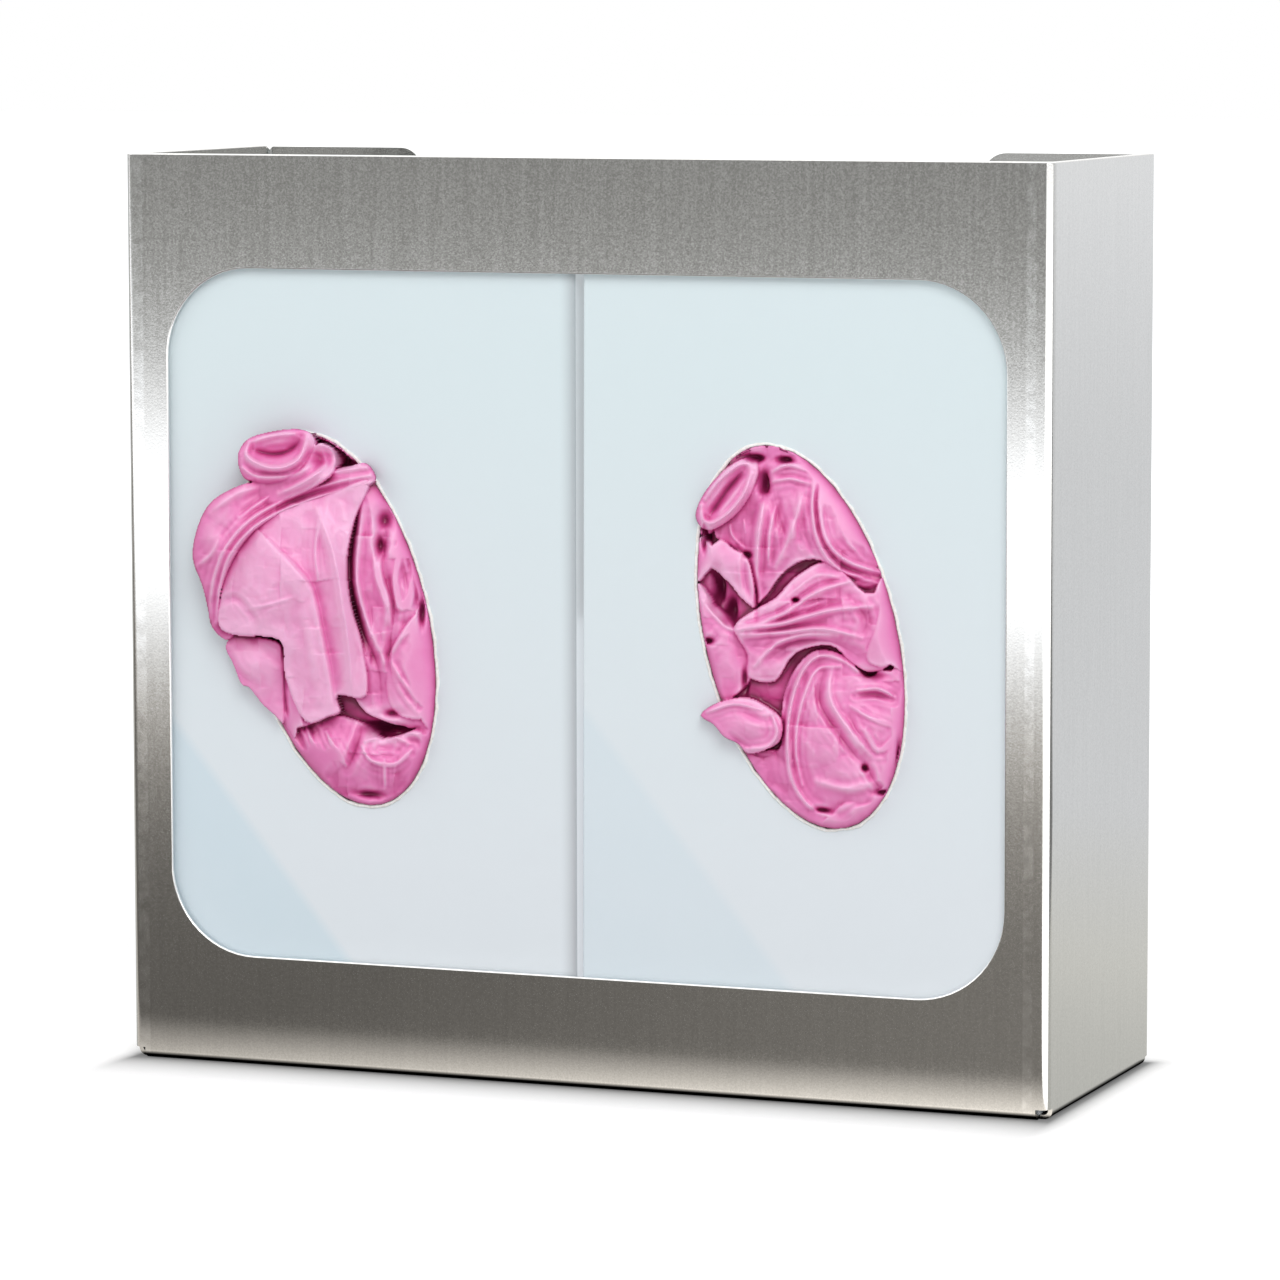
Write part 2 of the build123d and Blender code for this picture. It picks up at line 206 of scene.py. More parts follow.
def mirrored(tree, across, along, inFront, gap):
    # What polished metal sees: a bright edge, a dim near floor, a bright strip and a dim far end
    lowX, highX, lowY = studio["footprint"][:3]
    brightest = max(studio["frontBrightness"])
    near, middle, far = studio["nearTint"], studio["stripTint"], studio["farTint"]
    ahead = math2(tree, "SUBTRACT", lowY, along)
    tints = [near] * 6 + [middle] * 4 + [far] * 3
    front = strip(tree, ahead, studio["frontDistances"], studio["frontBrightness"], tints)
    sideShare = mapped(tree, across, (lowX, highX), studio["sideShares"])
    front = blend(tree, 1.0, front, sideShare, blend_type="MULTIPLY")
    isRight = math2(tree, "GREATER_THAN", across, studio["rightOpen"])
    front = blend(tree, isRight, front, (studio["rightBrightness"] / brightest,) * 3)
    # Behind it is even, but for a dark corner to the right that the right bend mirrors as a thin line
    distance = math2(tree, "SUBTRACT", along, lowY)
    tints = [far] * 3 + [middle] * 4
    behind = strip(tree, distance, studio["behindDistances"], studio["behindBrightness"], tints)
    cornerX, cornerY, cornerLevel = studio["darkCorner"]
    pastX = math2(tree, "GREATER_THAN", across, cornerX)
    beforeY = math2(tree, "LESS_THAN", along, cornerY)
    behind = blend(tree, product(tree, pastX, beforeY), behind, (cornerLevel / brightest,) * 3)
    # Under the holder there is no light
    strength = mapped(tree, gap, (0.0, studio["coveredReach"]), (0.0, brightest))
    colour = blend(tree, inFront, behind, front)
    return addNode(tree, "ShaderNodeEmission", {"Color": colour, "Strength": strength}).outputs[0]


def makeFloor():
    half = studio["floorHalf"]
    mesh = bpy.data.meshes.new("floor")
    corners = [(-half, -half, 0), (half, -half, 0), (half, half, 0), (-half, half, 0)]
    mesh.from_pydata(corners, [], [(0, 1, 2, 3)])
    floor = bpy.data.objects.new("floor", mesh)
    bpy.context.collection.objects.link(floor)
    material, tree, bsdf = newMaterial("paleFloor")
    axes = objectPlace(tree)[1]
    # Distance from the holder's footprint
    lowX, highX, lowY, highY = studio["footprint"]
    offsets = []
    for value, low, high in ((axes["X"], lowX, highX), (axes["Y"], lowY, highY)):
        away = math2(tree, "ABSOLUTE", math2(tree, "SUBTRACT", value, (low + high) / 2))
        away = math2(tree, "SUBTRACT", away, (high - low) / 2)
        offsets.append(math2(tree, "MAXIMUM", away, 0.0))
    squares = [math2(tree, "POWER", offset, 2.0) for offset in offsets]
    gap = math2(tree, "SQRT", math2(tree, "ADD", *squares))
    # Painted contact shadow: the floor darkens where the holder stands, wider in front
    inFront = math2(tree, "LESS_THAN", axes["Y"], lowY)
    reach = mapped(tree, inFront, toRange=(studio["contactShadowSide"], studio["contactShadowFront"]))
    beside = math2(tree, "DIVIDE", offsets[0], studio["contactShadowSide"])
    ahead = math2(tree, "DIVIDE", offsets[1], reach)
    squares = [math2(tree, "POWER", offset, 2.0) for offset in (beside, ahead)]
    fade = product(tree, math2(tree, "SQRT", math2(tree, "ADD", *squares)), -1.0)
    paintedShadow = product(tree, math2(tree, "EXPONENT", fade), studio["contactShadowDark"])
    # What the painted shadow leaves of the floor's colour and glow
    clear = math2(tree, "SUBTRACT", 1.0, paintedShadow)
    pale = blend(tree, clear, (0, 0, 0), studio["floorColour"])
    finish = {"Base Color": pale, "Roughness": studio["floorRoughness"], "Specular IOR Level": 0.0}
    wire(tree, bsdf, finish)
    # What the camera sees: a lit floor with a glow that keeps it white away from the holder
    glowShare = mapped(tree, gap, studio["glowReach"], (studio["nearGlow"], studio["farGlow"]))
    glow = addNode(tree, "ShaderNodeEmission", {"Strength": product(tree, glowShare, clear)})
    seen = addNode(tree, "ShaderNodeAddShader", {0: bsdf.outputs[0], 1: glow.outputs[0]})
    mirror = mirrored(tree, axes["X"], axes["Y"], inFront, gap)
    look = chooseByRay(tree, bsdf.outputs[0], mirror, seen.outputs[0])
    tree.links.new(look, tree.nodes["Material Output"].inputs["Surface"])
    mesh.materials.append(material)


def makeWorld():
    world = bpy.data.worlds.new("studioWorld")
    bpy.context.scene.world = world
    world.use_nodes = True
    tree = world.node_tree
    background = tree.nodes["Background"]
    wire(tree, background, {"Color": (1, 1, 1, 1), "Strength": studio["ambient"]})
    white = addNode(tree, "ShaderNodeBackground", {"Color": (1, 1, 1, 1), "Strength": 1.0})
    direction = addNode(tree, "ShaderNodeTexCoord").outputs["Generated"]
    axes = addNode(tree, "ShaderNodeSeparateXYZ", {0: direction}).outputs
    # Polished metal sees a sky that brightens upwards, and more light behind than in front
    skies = []
    for low in (studio["skyLow"], studio["skyBehind"]):
        levels = (low, low * studio["skyRise"], studio["skyHigh"])
        tones = [(stop, (level,) * 3) for stop, level in zip(studio["skyStops"], levels)]
        skies.append(ramp(tree, axes["Z"], tones))
    both = blend(tree, mapped(tree, axes["Y"], studio["skyTurn"]), *skies)
    sky = addNode(tree, "ShaderNodeBackground", {"Color": both, "Strength": 1.0})
    look = chooseByRay(tree, background.outputs[0], sky.outputs[0], white.outputs[0])
    tree.links.new(look, tree.nodes["World Output"].inputs["Surface"])


def makeSoftbox(name, place, size, power):
    data = bpy.data.lights.new(name, "AREA")
    data.shape = "SQUARE"
    data.size = size
    data.energy = power
    light = bpy.data.objects.new(name, data)
    bpy.context.collection.objects.link(light)
    aim = Vector(studio["softboxAim"]) - Vector(place)
    light.matrix_world = Matrix.Translation(place) @ aim.to_track_quat("-Z", "Y").to_matrix().to_4x4()


makeFloor()
makeWorld()
makeSoftbox("keySoftbox", **studio["key"])
makeSoftbox("fillSoftbox", **studio["fill"])
print("studio lit")


# Brushed stainless steel
steelFinish = {
    "colour": (0.62, 0.615, 0.60),
    "spread": 0.07,
    "roughness": (0.09, 0.14),
    "roughRange": (0.35, 0.65),
    "toneRange": (0.36, 0.64),
    "grainScale": 2200.0,
    "grainDepth": 0.06,
    "grainDistance": 0.0001,
    "brushScale": 900.0,
    "brushStretch": 0.03,
    "brushShare": 0.25,
    "pressMarks": ((-134.2, 1.4), (131.9, 1.1)),
    "pressBlur": 0.5,
    "pressShare": 0.75,
    "pressColour": (0.80, 0.80, 0.79),
    "mottleScale": 260.0,
    "mottleRange": (0.35, 0.6),
    "frontFace": -41.45,
    "lipBox": ((-126.0, 126.0), (-41.52, -40.3), (30.0, 229.0)),
    "lipHighlightColour": (0.92, 0.92, 0.91),
    "lipRoughness": 0.42,
}


def makeSteel():
    material, tree, bsdf = newMaterial("brushedSteel")
    place, axes = objectPlace(tree)
    grain = speckle(tree, place, steelFinish["grainScale"])
    scale = (1, 1, steelFinish["brushStretch"])
    stretch = addNode(tree, "ShaderNodeMapping", {"Vector": place, "Scale": scale})
    brush = speckle(tree, stretch.outputs[0], steelFinish["brushScale"], 3.0)
    mixed = {0: steelFinish["brushShare"], "A": grain, "B": brush}
    texture = addNode(tree, "ShaderNodeMix", mixed, data_type="FLOAT").outputs["Result"]
    tones = [1 - steelFinish["spread"], 1 + steelFinish["spread"]]
    tones = [tuple(tone * c for c in steelFinish["colour"]) for tone in tones]
    colour = ramp(tree, texture, list(zip(steelFinish["toneRange"], tones)))
    # Mottled light strips where the press held the front panel beside each bend
    marks = 0.0
    for markPlace, halfWidth in steelFinish["pressMarks"]:
        away = math2(tree, "ABSOLUTE", math2(tree, "SUBTRACT", axes["X"], markPlace * mm))
        blurEnd = (halfWidth + steelFinish["pressBlur"]) * mm
        marks = math2(tree, "ADD", mapped(tree, away, (blurEnd, halfWidth * mm)), marks)
    onFront = math2(tree, "LESS_THAN", axes["Y"], steelFinish["frontFace"] * mm)
    mottle = mapped(tree, speckle(tree, place, steelFinish["mottleScale"], 3.0), steelFinish["mottleRange"])
    share = product(tree, marks, onFront, mottle, steelFinish["pressShare"])
    colour = blend(tree, share, colour, steelFinish["pressColour"])
    # The cut edge round the window is rougher than the faces; its lighter colour is a painted highlight along
    # the rounded edge
    inLip = 1.0
    for axis, (low, high) in zip("XYZ", steelFinish["lipBox"]):
        above = math2(tree, "GREATER_THAN", axes[axis], low * mm)
        below = math2(tree, "LESS_THAN", axes[axis], high * mm)
        inLip = product(tree, above, below, inLip)
    colour = blend(tree, inLip, colour, steelFinish["lipHighlightColour"])
    rough = mapped(tree, texture, steelFinish["roughRange"], steelFinish["roughness"])
    rough = math2(tree, "MAXIMUM", rough, product(tree, inLip, steelFinish["lipRoughness"]))
    normal = relief(tree, texture, steelFinish["grainDepth"], steelFinish["grainDistance"])
    wire(tree, bsdf, {"Base Color": colour, "Metallic": 1.0, "Roughness": rough, "Normal": normal})
    return material


# Coated card: pale blue with two soft diagonal fields near the foot of each carton
cardFinish = {
    "topColour": (0.70, 0.80, 0.83),
    "footColour": (0.74, 0.79, 0.83),
    "toneHeights": (0.06, 0.2),
    "fieldColour": (0.62, 0.735, 0.80),
    "fieldShare": {"left": 1.0, "right": 0.5},
    "fieldSlope": 1.22,
    "fieldHeights": {"left": -57.0, "right": 106.0},
    "fieldBlur": 5.0,
    "mottleScale": 30.0,
    "mottleShare": (0.6, 1.1),
    "edgeShadeColour": (0.20, 0.20, 0.22),
    "edgeShadeReach": {"left": (-6.0, -0.8), "right": (1.8, 0.4)},
    "edgeShadeShare": {"left": 0.62, "right": 0.35},
    "edgeShadePower": 1.7,
    "gapHalf": 1.1,
    "gapFront": -38.9,
    "gapGlow": 0.3,
    "roughness": (0.40, 0.50),
    "fibreScale": 700.0,
    "fibreDepth": 0.06,
    "fibreDistance": 0.0002,
}


def makeCard(side):
    material, tree, bsdf = newMaterial(f"coatedCard_{side}")
    place, axes = objectPlace(tree)
    tall = mapped(tree, axes["Z"], cardFinish["toneHeights"])
    colour = blend(tree, tall, cardFinish["footColour"], cardFinish["topColour"])
    # Below a falling line the card is a little bluer
    level = math2(tree, "ADD", axes["Z"], product(tree, axes["X"], cardFinish["fieldSlope"]))
    edge = cardFinish["fieldHeights"][side] * mm
    blurEnd = edge + cardFinish["fieldBlur"] * mm
    field = mapped(tree, level, (blurEnd, edge), (0.0, cardFinish["fieldShare"][side]))
    mottle = speckle(tree, place, cardFinish["mottleScale"])
    uneven = mapped(tree, mottle, toRange=cardFinish["mottleShare"])
    colour = blend(tree, product(tree, field, uneven), colour, cardFinish["fieldColour"])
    # Painted shade: the card darkens towards its rounded edge beside the other carton
    start, end = (value * mm for value in cardFinish["edgeShadeReach"][side])
    edgeShade = math2(tree, "POWER", mapped(tree, axes["X"], (start, end)), cardFinish["edgeShadePower"])
    edgeShade = product(tree, edgeShade, cardFinish["edgeShadeShare"][side])
    colour = blend(tree, edgeShade, colour, cardFinish["edgeShadeColour"])
    # Painted light: the card inside the narrow gap between the cartons glows, standing in for light scattered
    # into the gap
    inGap = math2(tree, "LESS_THAN", math2(tree, "ABSOLUTE", axes["X"]), cardFinish["gapHalf"] * mm)
    behindFront = math2(tree, "GREATER_THAN", axes["Y"], cardFinish["gapFront"] * mm)
    glow = product(tree, inGap, behindFront, cardFinish["gapGlow"])
    fibre = speckle(tree, place, cardFinish["fibreScale"], 3.0)
    rough = mapped(tree, fibre, toRange=cardFinish["roughness"])
    normal = relief(tree, fibre, cardFinish["fibreDepth"], cardFinish["fibreDistance"])
    wire(tree, bsdf, {"Base Color": colour, "Roughness": rough, "Normal": normal})
    wire(tree, bsdf, {"Emission Color": (1.0, 1.0, 1.0, 1), "Emission Strength": glow})
    return material


# Pink nitrile film, coloured with painted shade deep in the folds and painted highlights on the crests
filmFinish = {
    "stops": (0.0, 0.30, 0.55, 0.85),
    "colours": ((0.22, 0.012, 0.075), (0.58, 0.07, 0.27), (0.80, 0.22, 0.50), (0.90, 0.46, 0.70)),
    "cloudScale": 120.0,
    "cloudLift": (-0.10, 0.10),
    "roughness": (0.31, 0.43),
    "grainScale": 1500.0,
    "grainDepth": 0.25,
    "grainDistance": 0.0001,
    "scatter": 0.06,
    "scatterRadius": (0.004, 0.0012, 0.002),
}


def makeFilm():
    material, tree, bsdf = newMaterial("pinkFilm")
    # The fold attribute carries painted shade in the hollows, painted highlight on the crests and each
    # layer's tone
    fold = addNode(tree, "ShaderNodeAttribute", attribute_name="fold").outputs["Fac"]
    place = objectPlace(tree)[0]
    cloud = speckle(tree, place, filmFinish["cloudScale"], 3.0)
    tone = math2(tree, "ADD", fold, mapped(tree, cloud, toRange=filmFinish["cloudLift"]))
    colour = ramp(tree, tone, list(zip(filmFinish["stops"], filmFinish["colours"])))
    grain = speckle(tree, place, filmFinish["grainScale"])
    rough = mapped(tree, grain, toRange=filmFinish["roughness"])
    normal = relief(tree, grain, filmFinish["grainDepth"], filmFinish["grainDistance"])
    wire(tree, bsdf, {"Base Color": colour, "Roughness": rough, "Normal": normal, "Subsurface Scale": 1.0})
    scatter = {"Subsurface Weight": filmFinish["scatter"], "Subsurface Radius": filmFinish["scatterRadius"]}
    wire(tree, bsdf, scatter)
    return material


def dress(obj, material):
    obj.data.materials.clear()
    obj.data.materials.append(material)


def link(name, mesh, material):
    piece = bpy.data.objects.new(name, mesh)
    bpy.context.collection.objects.link(piece)
    dress(piece, material)
    return piece


def bake(piece):
    # The piece's modifiers become its mesh
    graph = bpy.context.evaluated_depsgraph_get()
    mesh = bpy.data.meshes.new_from_object(piece.evaluated_get(graph))
    piece.modifiers.clear()
    piece.data = mesh


steel = makeSteel()
cards = {side: makeCard(side) for side in ("left", "right")}
film = makeFilm()
print("materials made")


# The folded sheet: the solid's own mesh, joined, so that its bends shade smoothly
sheetMesh = {"joinDistance": 1e-6, "flatAngle": 0.5, "sharpAngle": 40.0, "normalWeight": 100}


def makeHolder():
    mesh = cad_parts["holder"].data.copy()
    shape = bmesh.new()
    shape.from_mesh(mesh)
    bmesh.ops.remove_doubles(shape, verts=shape.verts, dist=sheetMesh["joinDistance"])
    flat = math.radians(sheetMesh["flatAngle"])
    bmesh.ops.dissolve_limit(shape, angle_limit=flat, verts=shape.verts, edges=shape.edges)
    shape.to_mesh(mesh)
    shape.free()
    mesh.polygons.foreach_set("use_smooth", [True] * len(mesh.polygons))
    mesh.set_sharp_from_angle(angle=math.radians(sheetMesh["sharpAngle"]))
    piece = link("folded_holder_sheet", mesh, steel)
    weight = piece.modifiers.new("evenNormals", "WEIGHTED_NORMAL")
    weight.keep_sharp = True
    weight.weight = sheetMesh["normalWeight"]
    bake(piece)
    dress(piece, steel)
    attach(piece, "root")
    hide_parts("holder")


makeHolder()
print("holder dressed")


# Gloves: every opening is a stack of overlapping film layers, in millimetres as seen from the camera.
# "lean" is how far a point shifts across and up for each millimetre that it stands in front of the card.
gloveGrid = {
    "cell": 0.28,
    "margin": 2.0,
    "lean": (0.394, 0.11),
    "frontPlane": -39.4,
    "plugBack": -9.5,
    "overCard": 0.35,
    "overFilm": 0.65,
    "freeEdge": (-2.5, 0.55),
    "tuck": 0.15,
    "thinnest": 0.12,
    "noFilm": -50.0,
    "gapInset": 0.6,
    "softening": 0.14,
    "shadingReach": (0.8, 2.6),
    "shadingGain": (0.26, 0.12),
    "depthShadeGain": 0.035,
    "depthShadeRange": (-12, 3),
    "toneBlur": 0.5,
    "rollShare": 0.5,
    "foldPower": 1.2,
    "foldEnd": 0.04,
    "echo": 0.20,
    "echoWidth": 1.15,
    "echoReach": 2.4,
    "facetSlope": 0.26,
    "facetScale": 7.0,
    "facetWarp": 2.0,
    "warpScale": 9.0,
    "fineSlope": 0.24,
    "fineScale": 2.8,
    "crumple": 0.25,
    "crumpleScale": 9.0,
    "rimStretch": 4.0,
    "rimFeed": 1.2,
    "rimBase": -0.3,
    "rimRise": 2.1,
    "ovalHalf": (28.3, 54.1),
    "ovalTilt": 14.6,
    "ovalInset": 0.2,
    "ovalSteps": 48,
    "ovalMiddle": {"left": (-73.6, 129.1), "right": (65.5, 129.4)},
    "tableSize": 64,
}


def smoothLine(points, closed=False, steps=5):
    # Catmull-Rom line through the points
    pts = np.array(points, float)
    count = len(pts)
    spans = count if closed else count - 1
    out = []
    for i in range(spans):
        if closed:
            a, b, c, d = (pts[(i + k) % count] for k in (-1, 0, 1, 2))
        else:
            a, b, c, d = (pts[min(max(i + k, 0), count - 1)] for k in (-1, 0, 1, 2))
        for k in range(steps):
            t = k / steps
            curve = (2 * a - 5 * b + 4 * c - d) * t**2
            out.append(0.5 * (2 * b + (c - a) * t + curve + (3 * b - a - 3 * c + d) * t**3))
    if not closed:
        out.append(pts[-1])
    return np.array(out)


def lineDistance(X, Z, line):
    # Distance to a line, positive on its left, and the share of the line passed there
    best = np.full(X.shape, 1e9)
    side = np.ones(X.shape)
    share = np.zeros(X.shape)
    lengths = np.hypot(*(line[1:] - line[:-1]).T)
    total = max(lengths.sum(), 1e-9)
    passed = 0.0
    for start, end, length in zip(line[:-1], line[1:], lengths):
        dx, dz = end - start
        t = np.clip(((X - start[0]) * dx + (Z - start[1]) * dz) / max(length**2, 1e-9), 0, 1)
        gap = np.hypot(X - start[0] - t * dx, Z - start[1] - t * dz)
        cross = dx * (Z - start[1]) - dz * (X - start[0])
        nearer = gap < best
        best = np.where(nearer, gap, best)
        side = np.where(nearer, np.sign(cross), side)
        share = np.where(nearer, (passed + t * length) / total, share)
        passed += length
    return best * side, share


def foldDistance(X, Z, points):
    # Distance to a fold, and how strong the fold still is there, from 0 at its ends to 1
    gap, share = lineDistance(X, Z, smoothLine(points))
    end = gloveGrid["foldEnd"]
    return gap, np.sqrt(np.clip(np.sin(np.pi * np.clip(share, end, 1 - end)), 0, 1))


def insideDistance(X, Z, line):
    # Distance inside a closed outline, negative outside it
    loop = np.vstack([line, line[:1]])
    gap = np.abs(lineDistance(X, Z, loop)[0])
    crossings = np.zeros(X.shape, int)
    for (x0, z0), (x1, z1) in zip(loop[:-1], loop[1:]):
        if z0 == z1:
            continue
        spans = (z0 > Z) != (z1 > Z)
        crossings += spans & (X < (x1 - x0) * (Z - z0) / (z1 - z0) + x0)
    return np.where(crossings % 2 == 1, gap, -gap)


def hump(X, Z, x, z, halfX, halfZ):
    return np.exp(-(((X - x) / halfX) ** 2) - ((Z - z) / halfZ) ** 2)


def softNoise(X, Z, scale, seed):
    # Smooth noise from 0 to 1 on a wrapped table
    size = gloveGrid["tableSize"]
    table = np.random.default_rng(seed).random((size, size))
    u, v = X / scale, Z / scale
    i, j = np.floor(u).astype(int), np.floor(v).astype(int)
    s, t = u - i, v - j
    s, t = s * s * (3 - 2 * s), t * t * (3 - 2 * t)
    a, b = table[i % size, j % size], table[(i + 1) % size, j % size]
    c, d = table[i % size, (j + 1) % size], table[(i + 1) % size, (j + 1) % size]
    return (a * (1 - s) + b * s) * (1 - t) + (c * (1 - s) + d * s) * t


def creases(X, Z, scale, seed):
    # Crumpled film: sharp crests between smooth facets
    warpX = X + 0.5 * scale * (softNoise(X, Z, scale, seed + 1) - 0.5)
    warpZ = Z + 0.5 * scale * (softNoise(X, Z, scale, seed + 2) - 0.5)
    total = np.zeros(X.shape)
    for octave, share in enumerate((0.6, 0.4)):
        value = softNoise(warpX, warpZ, scale / 1.9**octave, seed + 7 * octave)
        total += share * (1 - 2 * np.abs(2 * value - 1))
    return total


def facets(X, Z, scale, seed):
    # Creased film: the upper and lower envelopes of small tilted planes, averaged
    size = gloveGrid["tableSize"]
    rng = np.random.default_rng(seed)
    total = np.zeros(X.shape)
    for sign in (1, -1):
        jitter = rng.random((size, size, 2))
        tilt = rng.uniform(-1, 1, (size, size, 2))
        level = rng.uniform(-0.25, 0.25, (size, size))
        i, j = np.floor(X / scale).astype(int), np.floor(Z / scale).astype(int)
        best = np.full(X.shape, -1e9)
        for di in (-1, 0, 1):
            for dj in (-1, 0, 1):
                a, b = (i + di) % size, (j + dj) % size
                u = X / scale - (i + di + jitter[a, b, 0])
                v = Z / scale - (j + dj + jitter[a, b, 1])
                plane = tilt[a, b, 0] * u + tilt[a, b, 1] * v + level[a, b] - 0.55 * (u * u + v * v)
                best = np.maximum(best, plane)
        total += 0.5 * sign * best * scale
    return total


def blurred(field, radius):
    # Gaussian blur along both directions
    reach = int(math.ceil(3 * radius))
    kernel = np.exp(-0.5 * (np.arange(-reach, reach + 1) / radius) ** 2)
    kernel /= kernel.sum()
    for axis in (0, 1):
        padded = np.pad(field, [(reach, reach) if a == axis else (0, 0) for a in (0, 1)], mode="edge")
        total = np.zeros(field.shape)
        for k, weight in enumerate(kernel):
            cut = [slice(None), slice(None)]
            cut[axis] = slice(k, k + field.shape[axis])
            total += weight * padded[tuple(cut)]
        field = total
    return field


def layerHeight(X, Z, layer, inOval, seed):
    # One film layer: its base, domes, ridges, grooves and lips, rolled down at its outline
    inside = insideDistance(X, Z, smoothLine(layer["outline"], closed=True, steps=4))
    if not layer.get("over"):
        # A layer that comes out from under the card runs on to the rim of the opening
        stretch = gloveGrid["rimStretch"]
        inside = inside + gloveGrid["rimFeed"] * np.clip(stretch - inOval, 0, None) * (inside > -stretch)
        inside = np.where(inOval > 0, inside, -1.0)
    height = np.full(X.shape, float(layer["base"]))
    for x, z, halfX, halfZ, rise in layer.get("domes", []):
        height += rise * hump(X, Z, x, z, halfX, halfZ)
    for sign, key in ((1, "ridges"), (-1, "grooves")):
        for points, rise, width in layer.get(key, []):
            gap, fade = foldDistance(X, Z, points)
            away = np.abs(gap)
            height += sign * rise * fade * np.exp(-((away / width) ** gloveGrid["foldPower"]))
            # Finer wrinkles run along each fold
            ripple = np.cos(np.pi * gap / (gloveGrid["echoWidth"] * width))
            ripple = ripple * np.exp(-away / (gloveGrid["echoReach"] * width))
            height += gloveGrid["echo"] * min(rise, 2.0) * fade * ripple
    for points, rise, width, reach in layer.get("lips", []):
        gap, fade = foldDistance(X, Z, points)
        height += rise * fade * 0.5 * (1 + np.tanh(gap / width)) * np.exp(-np.abs(gap) / reach)
    crumple = layer.get("crumple", 1.0)
    warpX, warpZ = (
        axis + gloveGrid["facetWarp"] * (softNoise(X, Z, gloveGrid["warpScale"], seed + number) - 0.5)
        for number, axis in ((3, X), (4, Z))
    )
    height += crumple * gloveGrid["facetSlope"] * facets(warpX, warpZ, gloveGrid["facetScale"], seed + 50)
    height += crumple * gloveGrid["fineSlope"] * facets(warpX, warpZ, gloveGrid["fineScale"], seed + 60)
    height += crumple * gloveGrid["crumple"] * creases(X, Z, gloveGrid["crumpleScale"], seed)
    roll = layer["roll"] * gloveGrid["rollShare"]
    near = np.clip(inside / roll, 0, 1)
    height -= roll * (1 - np.sqrt(np.clip(1 - (1 - near) ** 2, 0, 1)))
    if not layer.get("over"):
        rise = gloveGrid["rimRise"] * np.sqrt(np.clip(inOval, 0, None))
        height = np.minimum(height, gloveGrid["rimBase"] + rise)
    return height, inside


def sheet(piece, base, roll, outline, **folds):
    # One layer and its folds: domes (x, z, half width, half height, rise), ridges and grooves (points,
    # rise, width), lips (points, rise, width, reach), crumple, tone, and over if it hangs over the card
    return dict(folds, piece=piece, base=base, roll=roll, outline=outline)


